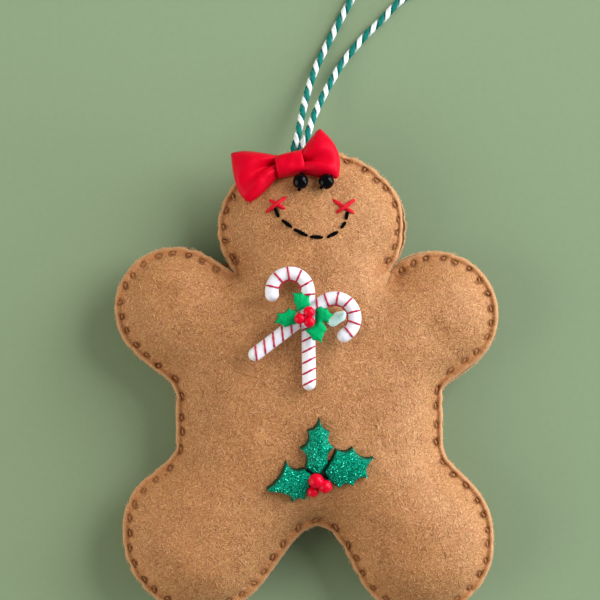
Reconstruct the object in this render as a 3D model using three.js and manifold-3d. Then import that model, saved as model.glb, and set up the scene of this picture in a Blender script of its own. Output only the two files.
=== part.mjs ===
// A stuffed felt gingerbread figure with a twine loop: a hanging ornament, sewn by hand from two panels.
// Millimetres. The figure lies on its back: +X is the viewer's right, +Y the head, +Z out of the face.

import * as THREE from "three";
import { mergeVertices } from "three/addons/utils/BufferGeometryUtils.js";
import Module from "manifold-3d";

const wasm = await Module();
wasm.setup();

// Felt, seam and filling
const FELT_THICKNESS = 1.2;
const CLEARANCE = 0.3; // kept between pieces that touch
const STITCH_INSET = 1.6; // flat rim outside the row of stitches
const FRONT_SWELL = 11.5; // height that the filling gives a very wide front panel
const BACK_SWELL = 11.5;
const SWELL_REACH = 7; // distance from the stitches over which the felt rises
const BACK_DEPTH = 8; // the back is pressed flat on the table at this depth below the seam
const SEAM_THREAD_DIAMETER = 0.6;
const SEAM_THREAD_INSET = 0.9; // of the thread's line from the felt's edge

// Outline: head ellipse, round hands and feet, straight waist
const HEAD_X = 1;
const HEAD_Y = 37.25;
const HEAD_HALF_WIDTH = 23.6;
const HEAD_HALF_HEIGHT = 19.6;
const NECK_ANGLE = THREE.MathUtils.degToRad(35); // of the neck corners below the head's widest line
const LEFT_ARM_X = -33;
const LEFT_ARM_Y = 17.2;
const LEFT_ARM_RADIUS = 15.35;
const RIGHT_ARM_X = 31.5;
const RIGHT_ARM_Y = 15.5;
const RIGHT_ARM_RADIUS = 16.05;
const SHOULDER_ANGLE = THREE.MathUtils.degToRad(56.6); // where the shoulder line leaves the arm
const UNDERARM_ANGLE = THREE.MathUtils.degToRad(48); // where the underarm curve leaves it
const LEFT_WAIST_X = -33;
const RIGHT_WAIST_X = 33.7;
const WAIST_TOP = -6.6;
const WAIST_BOTTOM = -16.4;
const LEFT_FOOT_X = -26.7;
const LEFT_FOOT_Y = -39.4;
const LEFT_FOOT_RADIUS = 19.6;
const RIGHT_FOOT_X = 28.45;
const RIGHT_FOOT_Y = -41.7;
const RIGHT_FOOT_RADIUS = 18;
const INSTEP_ANGLE = THREE.MathUtils.degToRad(45.7); // where the inner leg leaves the foot
const CROTCH_X = 2.5;
const CROTCH_Y = -37.4;
const UNDERARM_EASE = 9.4; // handle lengths of the curves that join the limbs to the body
const ARMPIT_EASE = 6.5;
const HIP_EASE = 7.3;
const THIGH_EASE = 14.65;
const INSTEP_EASE = 7.6;
const CROTCH_EASE = 6;
const ANKLE_RISE = 1.4; // the foot's side runs straight up this far

// Bead eyes, from the head's centre
const BEAD_DIAMETER = 3.4;
const BEAD_LENGTH = 2.9;
const BEAD_BORE = 1.1;
const EYE_THREAD_DIAMETER = 0.4;
const EYE_THREAD_DIVE = 0.3; // how far beyond the bead's end the thread meets the felt
const EYE_THREAD_SAG = 0.15; // how far the thread has dropped where it turns down
const EYE_THREAD_STRAIGHT = 1.2; // half the length that runs straight in the bore
const EYE_Y = 11.3;
const LEFT_EYE_X = -2.85;
const RIGHT_EYE_X = 3.5;
const LEFT_EYE_TURN = THREE.MathUtils.degToRad(80); // of the bore, from +X
const RIGHT_EYE_TURN = THREE.MathUtils.degToRad(48);

// Smile and cheek stitches, from the head's centre
const SMILE_THREAD = 0.9;
const SMILE_RADIUS_X = 9.2;
const SMILE_RADIUS_Y = 7.6;
const SMILE_X = -0.25;
const SMILE_Y = 5.1;
const SMILE_COUNT = 7;
const SMILE_SPAN = THREE.MathUtils.degToRad(168);
const SMILE_SHARE = 0.72; // of each step that shows as thread
const SMILE_BULGE = 0.1; // rise of a stitch's middle
const CHEEK_THREAD = 0.9;
const CHEEK_LENGTH = 5.4;
const LEFT_CHEEK_X = -9.05;
const LEFT_CHEEK_Y = 6.2;
const RIGHT_CHEEK_X = 8.25;
const RIGHT_CHEEK_Y = 5.3;
const CHEEK_TURN = THREE.MathUtils.degToRad(36);

// Ribbon bow, from the head's centre
const RIBBON_THICKNESS = 0.4;
const BOW_X = -5.5;
const BOW_Y = 16.7;
const BOW_TURN = THREE.MathUtils.degToRad(14);
const BOW_LEAN = THREE.MathUtils.degToRad(24); // tips the bow over the top of the head
const LOOP_LENGTH = 12.4; // from the bow's middle
const LOOP_HALF_WIDTH = 6.6;
const LOOP_NECK_HALF_WIDTH = 1.7;
const LOOP_FLARE = 1.3; // how late the loop widens towards its end
const LOOP_HEIGHT = 4.4;
const LOOP_NECK_HEIGHT = 1.5;
const LOOP_START = 0.5; // each loop ends this far from the bow's middle, inside the knot
const KNOT_WIDTH = 6.2;
const KNOT_WALL = 0.7;

// Canes, from the chest point where they cross
const CANE_DIAMETER = 3.3;
const HOOK_TURN = THREE.MathUtils.degToRad(190);
const CANE_TIP = 1.6;
const UPRIGHT_SHAFT = 24.4;
const UPRIGHT_HOOK = 4.45; // radius of the hook's middle line
const UPRIGHT_X = 0.25;
const UPRIGHT_Y = -3;
const UPRIGHT_TURN = THREE.MathUtils.degToRad(0.7);
const SLANTED_SHAFT = 22.6;
const SLANTED_HOOK = 4.85;
const SLANTED_X = -14.35;
const SLANTED_Y = 4.9;
const SLANTED_TURN = THREE.MathUtils.degToRad(-52.5);
const CANE_STEP_UP = 2; // the slanted cane is pressed into the top of the upright one

// Leaves: length, width, place and direction of each
const LEAF_SPINES = [[0.3, 1], [0.68, 0.9]]; // along the leaf, and across in half widths
const LEAF_SCALLOP = 0.55; // how far the edge is drawn in between two spines
const LEAF_BASE = 0.3; // half width at the stalk end, in half widths
const LEAF_RIB_MARGIN = 0.15; // the raised middle ends this far short of tip and stalk, in leaf lengths
const LEAF_RIB_SHARE = 0.75; // of the way from the edge to the middle line
const CANE_LEAF_THICKNESS = 0.8;
const CANE_LEAF_DROOP = THREE.MathUtils.degToRad(2.5);
const CANE_LEAVES = {
  cane_leaf_top: [{ x: -0.9, y: 16.6, length: 6.1, width: 4.4, turn: 110 }],
  cane_leaf_left: [{ x: -2.3, y: 14.4, length: 6.4, width: 4.9, turn: 186 }],
  cane_leaf_right: [
    { x: 1.6, y: 15.6, length: 5.2, width: 5.2, turn: 5 },
    { x: 1.2, y: 13.6, length: 6, width: 5.4, turn: -58 },
  ],
};
const HOLLY_LEAF_THICKNESS = 1.3;
const HOLLY_RIDGE = 0.7; // rise of the middle above the edge
const HOLLY_LEAVES = {
  holly_leaf_top: [{ x: 1.9, y: -22.1, length: 12.6, width: 8.4, turn: 87 }],
  holly_leaf_right: [{ x: 5.3, y: -23, length: 11.4, width: 9.4, turn: 17 }],
  holly_leaf_left: [{ x: -0.4, y: -25.6, length: 10.3, width: 9.4, turn: 189 }],
};

// Berries: place and diameter
const CANE_BERRY_DIAMETER = 2.4;
const CANE_BERRIES = [[0.35, 16.1], [-2.1, 14.6], [0.25, 13.25]];
const HOLLY_BERRIES = [[2, -25.35, 2.9], [4.6, -27, 2.6], [1.1, -28.4, 2.4]];

// Glue dab inside the slanted cane's hook
const GLUE_X = 7.4;
const GLUE_Y = 14.7;
const GLUE_LENGTH = 4.2;
const GLUE_WIDTH = 2.6;
const GLUE_HEIGHT = 1.2;
const GLUE_TURN = THREE.MathUtils.degToRad(35);

// Hanging loop of twine
const CORD_DIAMETER = 1.6;
const CORD_SPREAD = 2.2; // between the two strands where they leave the seam
const CORD_X = -3.2; // middle of the two strands
const CORD_BALL = 2; // the strands' rounded ends, which turn in the seam's mouth
const KNOT_RADIUS = 2.3;
const TABLE_GAP = 0.05; // between the lying twine and the table

// Materials
function cloth(colour, roughness) {
  return new THREE.MeshStandardMaterial({ color: colour, roughness: roughness, metalness: 0 });
}
const feltBrown = cloth(0xb67a48, 0.95);
const fillingWhite = cloth(0xf0ece2, 0.95);
const threadBrown = cloth(0x8d5529, 0.8);
const threadBlack = cloth(0x1c1a1c, 0.7);
const threadRed = cloth(0xd8252c, 0.7);
const twineGreen = cloth(0x7fb8a8, 0.85);
const satinRed = cloth(0xd20a28, 0.35);
const beadBlack = cloth(0x141417, 0.12);
const caneWhite = cloth(0xf1e9ea, 0.4);
const leafGreen = cloth(0x1fa05e, 0.7);
const glitterGreen = cloth(0x0c7a58, 0.4);
const berryRed = cloth(0xdc1531, 0.3);
const glueClear = cloth(0xc9d4b4, 0.25);

const ornament = new THREE.Group();

function place(name, geometry, material, parent = ornament) {
  const mesh = new THREE.Mesh(geometry, material);
  mesh.name = name;
  parent.add(mesh);
  return mesh;
}

// Solids for cuts and joins
function toSolid(geometry) {
  const bare = geometry.clone();
  bare.deleteAttribute("normal");
  bare.deleteAttribute("uv");
  const merged = mergeVertices(bare, 1e-4);
  const vertProperties = new Float32Array(merged.attributes.position.array);
  const triVerts = new Uint32Array(merged.index.array);
  return new wasm.Manifold(new wasm.Mesh({ numProp: 3, vertProperties, triVerts }));
}

function toGeometry(solid) {
  const mesh = solid.getMesh();
  const geometry = new THREE.BufferGeometry();
  geometry.setAttribute("position", new THREE.BufferAttribute(mesh.vertProperties, 3));
  geometry.setIndex(new THREE.BufferAttribute(mesh.triVerts, 1));
  return geometry;
}

// Outline of the figure, counterclockwise from the right neck corner over the head
function neckCorner(side) {
  const x = HEAD_X + side * HEAD_HALF_WIDTH * Math.cos(NECK_ANGLE);
  const y = HEAD_Y - HEAD_HALF_HEIGHT * Math.sin(NECK_ANGLE);
  return new THREE.Vector2(x, y);
}

function headArc() {
  const arc = new THREE.Path();
  arc.absellipse(HEAD_X, HEAD_Y, HEAD_HALF_WIDTH, HEAD_HALF_HEIGHT, -NECK_ANGLE, Math.PI + NECK_ANGLE);
  return arc;
}

// One side from the neck corner to the crotch; side is -1 for the left and +1 for the right
function bodySide(side, armX, armY, armRadius, waistX, footX, footY, footRadius) {
  const mirrored = (angle) => (side < 0 ? Math.PI - angle : angle);
  const clockwise = side > 0;
  const shoulder = mirrored(Math.PI - SHOULDER_ANGLE);
  const underarm = mirrored(-UNDERARM_ANGLE);
  const instep = mirrored(Math.PI + INSTEP_ANGLE);
  const corner = neckCorner(side);
  const path = new THREE.Path();
  path.moveTo(corner.x, corner.y);
  path.absarc(armX, armY, armRadius, shoulder, underarm, clockwise);
  const under = path.currentPoint.clone();
  path.bezierCurveTo(
    under.x - side * UNDERARM_EASE * Math.sin(UNDERARM_ANGLE),
    under.y - UNDERARM_EASE * Math.cos(UNDERARM_ANGLE),
    waistX,
    WAIST_TOP + ARMPIT_EASE,
    waistX,
    WAIST_TOP,
  );
  path.lineTo(waistX, WAIST_BOTTOM);
  const ankleX = footX + side * footRadius;
  const ankleY = footY + ANKLE_RISE;
  path.bezierCurveTo(waistX, WAIST_BOTTOM - HIP_EASE, ankleX, ankleY + THIGH_EASE, ankleX, ankleY);
  path.lineTo(ankleX, footY);
  path.absarc(footX, footY, footRadius, mirrored(0), instep, clockwise);
  const inner = path.currentPoint.clone();
  path.bezierCurveTo(
    inner.x - side * INSTEP_EASE * Math.sin(INSTEP_ANGLE),
    inner.y + INSTEP_EASE * Math.cos(INSTEP_ANGLE),
    CROTCH_X + side * CROTCH_EASE,
    CROTCH_Y,
    CROTCH_X,
    CROTCH_Y,
  );
  return path;
}

const leftSide = bodySide(
  -1, LEFT_ARM_X, LEFT_ARM_Y, LEFT_ARM_RADIUS, LEFT_WAIST_X, LEFT_FOOT_X, LEFT_FOOT_Y, LEFT_FOOT_RADIUS,
);
const rightSide = bodySide(
  1, RIGHT_ARM_X, RIGHT_ARM_Y, RIGHT_ARM_RADIUS, RIGHT_WAIST_X, RIGHT_FOOT_X, RIGHT_FOOT_Y, RIGHT_FOOT_RADIUS,
);

const HEAD_STEPS = 20;
const SIDE_STEPS = 33;
function outlinePoints(fineness) {
  const head = headArc().getSpacedPoints(HEAD_STEPS * fineness);
  const left = leftSide.getSpacedPoints(SIDE_STEPS * fineness);
  const right = rightSide.getSpacedPoints(SIDE_STEPS * fineness).reverse();
  return [...head.slice(0, -1), ...left.slice(0, -1), ...right.slice(0, -1)];
}

// A smooth measure of how far a point lies inside the outline: equal to the distance near the edge
const FINE_OUTLINE = outlinePoints(3);
function depthInside(x, y) {
  let pull = 0;
  FINE_OUTLINE.forEach((a, i) => {
    const b = FINE_OUTLINE[(i + 1) % FINE_OUTLINE.length];
    const length = Math.hypot(b.x - a.x, b.y - a.y);
    const alongX = (b.x - a.x) / length;
    const alongY = (b.y - a.y) / length;
    const start = (a.x - x) * alongX + (a.y - y) * alongY;
    const end = start + length;
    const across = (a.x - x) * alongY - (a.y - y) * alongX;
    const square = across * across + 1e-6;
    pull += (end / Math.sqrt(end * end + square) - start / Math.sqrt(start * start + square)) / square;
  });
  return Math.sqrt(2 / pull);
}

function swell(x, y, height) {
  const depth = depthInside(x, y) - STITCH_INSET;
  return depth > 0 ? height * (1 - Math.exp(-depth / SWELL_REACH)) : 0;
}

// Faces of the felt: the rim lies flat at the seam, and a steep face is thicker measured upright
const SEAM_Z = BACK_DEPTH + FELT_THICKNESS + CLEARANCE / 2;
const RIM_HALF = FELT_THICKNESS + CLEARANCE / 2; // half the thickness of the sewn rim
const SLOPE_STEP = 0.2;
const frontHeight = (x, y) => SEAM_Z + RIM_HALF + swell(x, y, FRONT_SWELL);
const backHeight = (x, y) => SEAM_Z - RIM_HALF - Math.min(swell(x, y, BACK_SWELL), BACK_DEPTH);
function slopeStretch(height, x, y) {
  const slopeX = (height(x + SLOPE_STEP, y) - height(x - SLOPE_STEP, y)) / (2 * SLOPE_STEP);
  const slopeY = (height(x, y + SLOPE_STEP) - height(x, y - SLOPE_STEP)) / (2 * SLOPE_STEP);
  return Math.hypot(1, slopeX, slopeY);
}
const underFront = (depth) => (x, y) =>
  Math.max(frontHeight(x, y) - depth * slopeStretch(frontHeight, x, y), SEAM_Z + CLEARANCE / 2);
const overBack = (depth) => (x, y) =>
  Math.min(backHeight(x, y) + depth * slopeStretch(backHeight, x, y), SEAM_Z - CLEARANCE / 2);

// Rings that step in from the outline: one at the stitches, and then up the depth's slope, so that none cross
function inwardNormals(outline) {
  const count = outline.length;
  return outline.map((point, i) => {
    const before = point.clone().sub(outline[(i + count - 1) % count]).normalize();
    const after = outline[(i + 1) % count].clone().sub(point).normalize();
    const along = before.clone().add(after).normalize();
    const mitre = 1 / Math.max(0.5, along.dot(after));
    return new THREE.Vector2(-along.y, along.x).multiplyScalar(mitre);
  });
}

const CLIMB_STEP = 0.4;
function climb(point, distance) {
  const spot = point.clone();
  for (let gone = 0; gone < distance; gone += CLIMB_STEP) {
    const rateX = depthInside(spot.x + SLOPE_STEP, spot.y) - depthInside(spot.x - SLOPE_STEP, spot.y);
    const rateY = depthInside(spot.x, spot.y + SLOPE_STEP) - depthInside(spot.x, spot.y - SLOPE_STEP);
    spot.addScaledVector(new THREE.Vector2(rateX, rateY), CLIMB_STEP / (2 * SLOPE_STEP));
  }
  return spot;
}

function ringsInside(outline, climbs) {
  const normals = inwardNormals(outline);
  const rings = [outline, outline.map((p, i) => p.clone().addScaledVector(normals[i], STITCH_INSET))];
  for (const distance of climbs) {
    rings.push(rings[rings.length - 1].map((p) => climb(p, distance)));
  }
  return rings;
}

// Triangles that close the innermost ring, facing up
function capTriangles(ring) {
  return THREE.ShapeUtils.triangulateShape(ring, []).map(([a, b, c]) => {
    const cross = ring[b].clone().sub(ring[a]).cross(ring[c].clone().sub(ring[a]));
    return cross > 0 ? [a, b, c] : [a, c, b];
  });
}

// A closed body between two stacks of rings of 3-D points, both split and capped in the same way
function closedForm(topRings, bottomRings, cap) {
  const count = topRings[0].length;
  const bottomStart = topRings.length * count;
  const index = [];
  const band = (from, to, facesUp) => {
    for (let i = 0; i < count; i += 1) {
      const next = (i + 1) % count;
      const corners = [from + i, from + next, to + next, to + i];
      const [a, b, c, d] = facesUp ? corners : [corners[2], corners[1], corners[0], corners[3]];
      index.push(a, b, c, a, c, d);
    }
  };
  topRings.slice(1).forEach((ring, i) => band(i * count, (i + 1) * count, true));
  bottomRings.slice(1).forEach((ring, i) => {
    band(bottomStart + i * count, bottomStart + (i + 1) * count, false);
  });
  band(bottomStart, 0, true);
  const topCap = bottomStart - count;
  const bottomCap = topCap + bottomStart;
  for (const [a, b, c] of cap) {
    index.push(topCap + a, topCap + b, topCap + c, bottomCap + a, bottomCap + c, bottomCap + b);
  }
  const points = [...topRings.flat(), ...bottomRings.flat()];
  const geometry = new THREE.BufferGeometry().setFromPoints(points);
  geometry.setIndex(index);
  return geometry;
}

// Lifts rings of plan points onto a height field
function onField(rings, height) {
  return rings.map((ring) => ring.map((p) => new THREE.Vector3(p.x, p.y, height(p.x, p.y))));
}

// A tube of round section along a curve
function tube(curve, diameter, steps, sides) {
  const section = new THREE.Shape();
  section.absarc(0, 0, diameter / 2, 0, 2 * Math.PI);
  return new THREE.ExtrudeGeometry(section, { steps, curveSegments: sides / 2, extrudePath: curve });
}

// Felt panels and filling
const RING_CLIMBS = [1.2, 2.4, 4.4, 7.6, 14];
const FILLING_RING = 3; // the filling starts at this ring
const panelRings = ringsInside(outlinePoints(1), RING_CLIMBS);
const panelCap = capTriangles(panelRings[panelRings.length - 1]);
const frontShell = closedForm(
  onField(panelRings, frontHeight),
  onField(panelRings, underFront(FELT_THICKNESS)),
  panelCap,
);
const backShell = closedForm(
  onField(panelRings, overBack(FELT_THICKNESS)),
  onField(panelRings, backHeight),
  panelCap,
);
const fillingRings = panelRings.slice(FILLING_RING);
const filling = closedForm(
  onField(fillingRings, underFront(FELT_THICKNESS + CLEARANCE)),
  onField(fillingRings, overBack(FELT_THICKNESS + CLEARANCE)),
  panelCap,
);

// Twine: where the two strands cross the rim, and the mouth that they pass through
const CORD_CROSSING = [-1, 1].map((side) => CORD_X + (side * CORD_SPREAD) / 2);
function rimTop(x) {
  const share = (x - HEAD_X) / HEAD_HALF_WIDTH;
  return HEAD_Y + HEAD_HALF_HEIGHT * Math.sqrt(1 - share * share);
}
const KNOT_REACH = 1.5 * KNOT_RADIUS + CORD_DIAMETER / 2; // the knot's outer radius
const KNOT_Y = rimTop(CORD_X) - 3 * STITCH_INSET - KNOT_REACH;
const mouths = CORD_CROSSING.map((x) => {
  const line = new THREE.LineCurve3(
    new THREE.Vector3(x, KNOT_Y, SEAM_Z),
    new THREE.Vector3(x, rimTop(x) + CORD_DIAMETER, SEAM_Z),
  );
  return toSolid(tube(line, CORD_DIAMETER + 2 * CLEARANCE, 1, 8));
});
const KNOT_DEPTH = KNOT_RADIUS + CORD_DIAMETER + 2 * CLEARANCE;
const pocketRadius = KNOT_REACH + CLEARANCE;
const pocketShape = new THREE.CylinderGeometry(pocketRadius, pocketRadius, KNOT_DEPTH, 16);
pocketShape.rotateX(Math.PI / 2);
pocketShape.translate(CORD_X, KNOT_Y, SEAM_Z);
const pocket = toSolid(pocketShape);

const cutMouths = (geometry) => mouths.reduce((left, mouth) => left.subtract(mouth), toSolid(geometry));
const frontPanel = place("front_panel", toGeometry(cutMouths(frontShell)), feltBrown);
place("back_panel", toGeometry(cutMouths(backShell)), feltBrown);
place("stuffing", toGeometry(cutMouths(filling).subtract(pocket)), fillingWhite);

// Knotted ends of the twine inside the head
const knotShape = new THREE.TorusKnotGeometry(KNOT_RADIUS, CORD_DIAMETER / 2, 36, 6, 2, 3);
knotShape.translate(CORD_X, KNOT_Y, SEAM_Z);
const tails = CORD_CROSSING.map((x) => {
  const line = new THREE.LineCurve3(
    new THREE.Vector3(x, KNOT_Y + KNOT_RADIUS, SEAM_Z),
    new THREE.Vector3(x, rimTop(x), SEAM_Z),
  );
  return toSolid(tube(line, CORD_DIAMETER, 1, 8));
});
const anchor = tails.reduce((whole, tail) => whole.add(tail), toSolid(knotShape));
place("loop_anchor", toGeometry(anchor), twineGreen);

// Free loop: rises from the left strand's end, lies on the table and comes back to the right strand's
const TABLE = CORD_DIAMETER / 2 + TABLE_GAP;
const LOOP_ROUTE = [
  [-2.6, 60.6, 9], [-1.4, 66.2, 6.4], [-0.2, 71.3, 3.8], [1.9, 77.5, 1.9], [4.1, 82.2, 1.1],
  [6.9, 87.6, TABLE], [10.5, 94.3, TABLE], [15.3, 102.6, TABLE], [21.4, 110.8, TABLE], [28.8, 117, TABLE],
  [36, 118.2, TABLE], [40.4, 113.6, TABLE], [38.9, 106.8, TABLE], [31.8, 100.6, TABLE], [22.8, 94.3, TABLE],
  [18.7, 90, TABLE], [14.9, 86.4, TABLE], [11.7, 82.8, 1], [8.8, 79.2, 1.5], [5.9, 74.4, 2.8],
  [3, 68.9, 5], [0.9, 63.9, 7.5], [-0.7, 59.9, 9.3],
];
const ballOffset = CLEARANCE + CORD_BALL / 2;
const strandEnds = CORD_CROSSING.map((x) => new THREE.Vector3(x, rimTop(CORD_X) + ballOffset, SEAM_Z));
const loopCurve = new THREE.CatmullRomCurve3([
  strandEnds[0],
  ...LOOP_ROUTE.map((p) => new THREE.Vector3(...p)),
  strandEnds[1],
]);
const LOOP_STEPS = 64;
const loopTube = toSolid(tube(loopCurve, CORD_DIAMETER, LOOP_STEPS, 8));
const loopBalls = strandEnds.map((end) => {
  const ball = new THREE.SphereGeometry(CORD_BALL / 2, 8, 6);
  ball.translate(end.x, end.y, end.z);
  return toSolid(ball);
});
place("hanging_loop", toGeometry(loopBalls.reduce((whole, ball) => whole.add(ball), loopTube)), twineGreen);

// Top of the front panel under a point, or nothing outside the outline
const UP_HIGH = 1000;
const probe = new THREE.Raycaster();
function feltTop(x, y) {
  probe.set(new THREE.Vector3(x, y, UP_HIGH), new THREE.Vector3(0, 0, -1));
  const hits = probe.intersectObject(frontPanel);
  return hits.length ? hits[0].point.z : -Infinity;
}

// Seam thread on the flat rim, from one side of the twine round the figure to the other
const seamGap = CORD_SPREAD / 2 + CORD_BALL / 2 + CLEARANCE + SEAM_THREAD_DIAMETER / 2;
const SHARP_CORNER = 1.5; // the thread crosses a neck corner whose mitre is longer than this
function seamRun() {
  const outline = outlinePoints(1);
  const normals = inwardNormals(outline);
  const run = outline
    .map((p, i) => p.clone().addScaledVector(normals[i], SEAM_THREAD_INSET))
    .filter((p, i) => normals[i].length() < SHARP_CORNER);
  const first = run.findIndex((p) => p.y > HEAD_Y && p.x < CORD_X - seamGap);
  const turned = [...run.slice(first), ...run.slice(0, first)];
  return turned.filter((p) => p.y < HEAD_Y || Math.abs(p.x - CORD_X) >= seamGap);
}
function overRim(p) {
  const reach = SEAM_THREAD_DIAMETER / 2 + CLEARANCE;
  const steps = [-reach, 0, reach];
  const around = steps.flatMap((dx) => steps.map((dy) => feltTop(p.x + dx, p.y + dy)));
  return new THREE.Vector3(p.x, p.y, Math.max(...around) + reach);
}
const seamPoints = seamRun().map(overRim);
const seamCurve = new THREE.CatmullRomCurve3(seamPoints, false, "centripetal");
place("seam_thread", tube(seamCurve, SEAM_THREAD_DIAMETER, seamPoints.length + 20, 6), threadBrown);

// Height that an object has to rise by to clear the front panel by the clearance
const vertex = new THREE.Vector3();
function liftOverFelt(object) {
  let lift = -Infinity;
  object.updateMatrixWorld(true);
  object.traverse((mesh) => {
    const positions = mesh.geometry ? mesh.geometry.attributes.position : { count: 0 };
    for (let i = 0; i < positions.count; i += 1) {
      vertex.fromBufferAttribute(positions, i).applyMatrix4(mesh.matrixWorld);
      lift = Math.max(lift, feltTop(vertex.x, vertex.y) + CLEARANCE - vertex.z);
    }
  });
  return lift;
}

function seatOnFelt(object) {
  object.position.z += liftOverFelt(object);
  return object;
}

// Stitches: a short thread that rises out of the felt, lies on it and dives in again
function stitch(name, from, to, diameter, rise, material) {
  const points = [0, 0.2, 0.5, 0.8, 1].map((share) => {
    const x = THREE.MathUtils.lerp(from.x, to.x, share);
    const y = THREE.MathUtils.lerp(from.y, to.y, share);
    const lift = rise * Math.sin(Math.PI * share);
    return new THREE.Vector3(x, y, feltTop(x, y) + CLEARANCE + diameter / 2 + lift);
  });
  return seatOnFelt(place(name, tube(new THREE.CatmullRomCurve3(points), diameter, 6, 6), material));
}

// Smile
for (let i = 0; i < SMILE_COUNT; i += 1) {
  const point = (step) => {
    const angle = 1.5 * Math.PI + SMILE_SPAN * (step / SMILE_COUNT - 0.5);
    const x = HEAD_X + SMILE_X + SMILE_RADIUS_X * Math.cos(angle);
    return new THREE.Vector2(x, HEAD_Y + SMILE_Y + SMILE_RADIUS_Y * Math.sin(angle));
  };
  const from = point(i + (1 - SMILE_SHARE) / 2);
  const to = point(i + (1 + SMILE_SHARE) / 2);
  stitch(`smile_stitch_${i + 1}`, from, to, SMILE_THREAD, SMILE_BULGE, threadBlack);
}

// Cheek crosses
const CHEEKS = { left: [LEFT_CHEEK_X, LEFT_CHEEK_Y], right: [RIGHT_CHEEK_X, RIGHT_CHEEK_Y] };
for (const [side, [offsetX, offsetY]] of Object.entries(CHEEKS)) {
  const centre = new THREE.Vector2(HEAD_X + offsetX, HEAD_Y + offsetY);
  const arm = (turn) => new THREE.Vector2(Math.cos(turn), Math.sin(turn)).multiplyScalar(CHEEK_LENGTH / 2);
  const falling = arm(-CHEEK_TURN);
  const rising = arm(CHEEK_TURN);
  const crossing = CHEEK_THREAD + CLEARANCE;
  const leg = (name, way, rise) => {
    stitch(name, centre.clone().sub(way), centre.clone().add(way), CHEEK_THREAD, rise, threadRed);
  };
  leg(`${side}_cheek_under`, falling, 0);
  leg(`${side}_cheek_over`, rising, crossing);
}

// Bead eyes and the thread through each bore
function beadGeometry() {
  const profile = new THREE.Path();
  const wall = (BEAD_DIAMETER - BEAD_BORE) / 4;
  profile.absellipse(BEAD_BORE / 2 + wall, 0, wall, BEAD_LENGTH / 2, 0, 2 * Math.PI);
  return new THREE.LatheGeometry(profile.getPoints(6), 12);
}

const EYES = { left: [LEFT_EYE_X, LEFT_EYE_TURN], right: [RIGHT_EYE_X, RIGHT_EYE_TURN] };
for (const [side, [offsetX, turn]] of Object.entries(EYES)) {
  const bead = place(`${side}_eye_bead`, beadGeometry(), beadBlack);
  bead.rotation.set(0, 0, turn - Math.PI / 2);
  bead.position.set(HEAD_X + offsetX, HEAD_Y + EYE_Y, 0);
  seatOnFelt(bead);
  const along = new THREE.Vector2(Math.cos(turn), Math.sin(turn));
  const axis = bead.position;
  const reach = BEAD_LENGTH / 2 + EYE_THREAD_DIAMETER / 2 + CLEARANCE;
  const points = [-1, 1].flatMap((end) => {
    const x = axis.x + end * reach * along.x;
    const y = axis.y + end * reach * along.y;
    const foot = feltTop(x, y) + CLEARANCE + EYE_THREAD_DIAMETER / 2;
    const outward = along.clone().multiplyScalar(end);
    const diveX = x + EYE_THREAD_DIVE * outward.x;
    const dive = new THREE.Vector3(diveX, y + EYE_THREAD_DIVE * outward.y, foot);
    const turnIn = new THREE.Vector3(x, y, axis.z - EYE_THREAD_SAG);
    const mouthX = axis.x + EYE_THREAD_STRAIGHT * outward.x;
    const mouth = new THREE.Vector3(mouthX, axis.y + EYE_THREAD_STRAIGHT * outward.y, axis.z);
    return end < 0 ? [dive, turnIn, mouth] : [mouth, turnIn, dive];
  });
  const threadCurve = new THREE.CatmullRomCurve3(points, false, "centripetal");
  place(`${side}_eye_thread`, tube(threadCurve, EYE_THREAD_DIAMETER, 16, 6), threadBlack);
}

// Ribbon bow: two open loops with their ends in a folded knot; reach runs from 0 at the neck to 1 at the end
const loopHalfWidth = (reach) =>
  THREE.MathUtils.lerp(LOOP_NECK_HALF_WIDTH, LOOP_HALF_WIDTH, Math.pow(reach, LOOP_FLARE));
const loopHalfHeight = (reach) => THREE.MathUtils.lerp(LOOP_NECK_HEIGHT, LOOP_HEIGHT, reach) / 2;
function ribbonLoop(side) {
  const around = 14;
  const across = 4;
  const layer = (offset) => {
    const rows = [];
    for (let i = 0; i <= around; i += 1) {
      const angle = (Math.PI * i) / around;
      const reach = Math.sin(angle);
      const width = loopHalfWidth(reach);
      const u = LOOP_START + (LOOP_LENGTH - LOOP_START) * reach + offset * reach;
      const n = (loopHalfHeight(reach) + offset) * Math.cos(angle);
      rows.push([...Array(across + 1).keys()].map((j) => [side * u, width * ((2 * j) / across - 1), n]));
    }
    return rows;
  };
  const outer = layer(0);
  const inner = layer(-RIBBON_THICKNESS);
  const positions = [...outer, ...inner].flat(2);
  const row = across + 1;
  const start = outer.length * row;
  const index = [];
  const quad = (a, b, c, d) => index.push(...(side > 0 ? [a, b, c, a, c, d] : [a, c, b, a, d, c]));
  for (let i = 0; i < around; i += 1) {
    for (let j = 0; j < across; j += 1) {
      const a = i * row + j;
      quad(a, a + row, a + row + 1, a + 1);
      quad(start + a, start + a + 1, start + a + row + 1, start + a + row);
    }
    const low = i * row;
    const high = low + across;
    quad(low, start + low, start + low + row, low + row);
    quad(high, high + row, start + high + row, start + high);
  }
  for (let j = 0; j < across; j += 1) {
    const end = around * row + j;
    quad(j, j + 1, start + j + 1, start + j);
    quad(end, start + end, start + end + 1, end + 1);
  }
  const geometry = new THREE.BufferGeometry();
  geometry.setAttribute("position", new THREE.Float32BufferAttribute(positions, 3));
  geometry.setIndex(index);
  return geometry;
}

function roundedBox(path, halfWidth, halfHeight, radius) {
  path.moveTo(halfWidth, radius - halfHeight);
  path.absarc(halfWidth - radius, halfHeight - radius, radius, 0, Math.PI / 2);
  path.absarc(radius - halfWidth, halfHeight - radius, radius, Math.PI / 2, Math.PI);
  path.absarc(radius - halfWidth, radius - halfHeight, radius, Math.PI, 1.5 * Math.PI);
  path.absarc(halfWidth - radius, radius - halfHeight, radius, 1.5 * Math.PI, 2 * Math.PI);
  return path;
}

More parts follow.
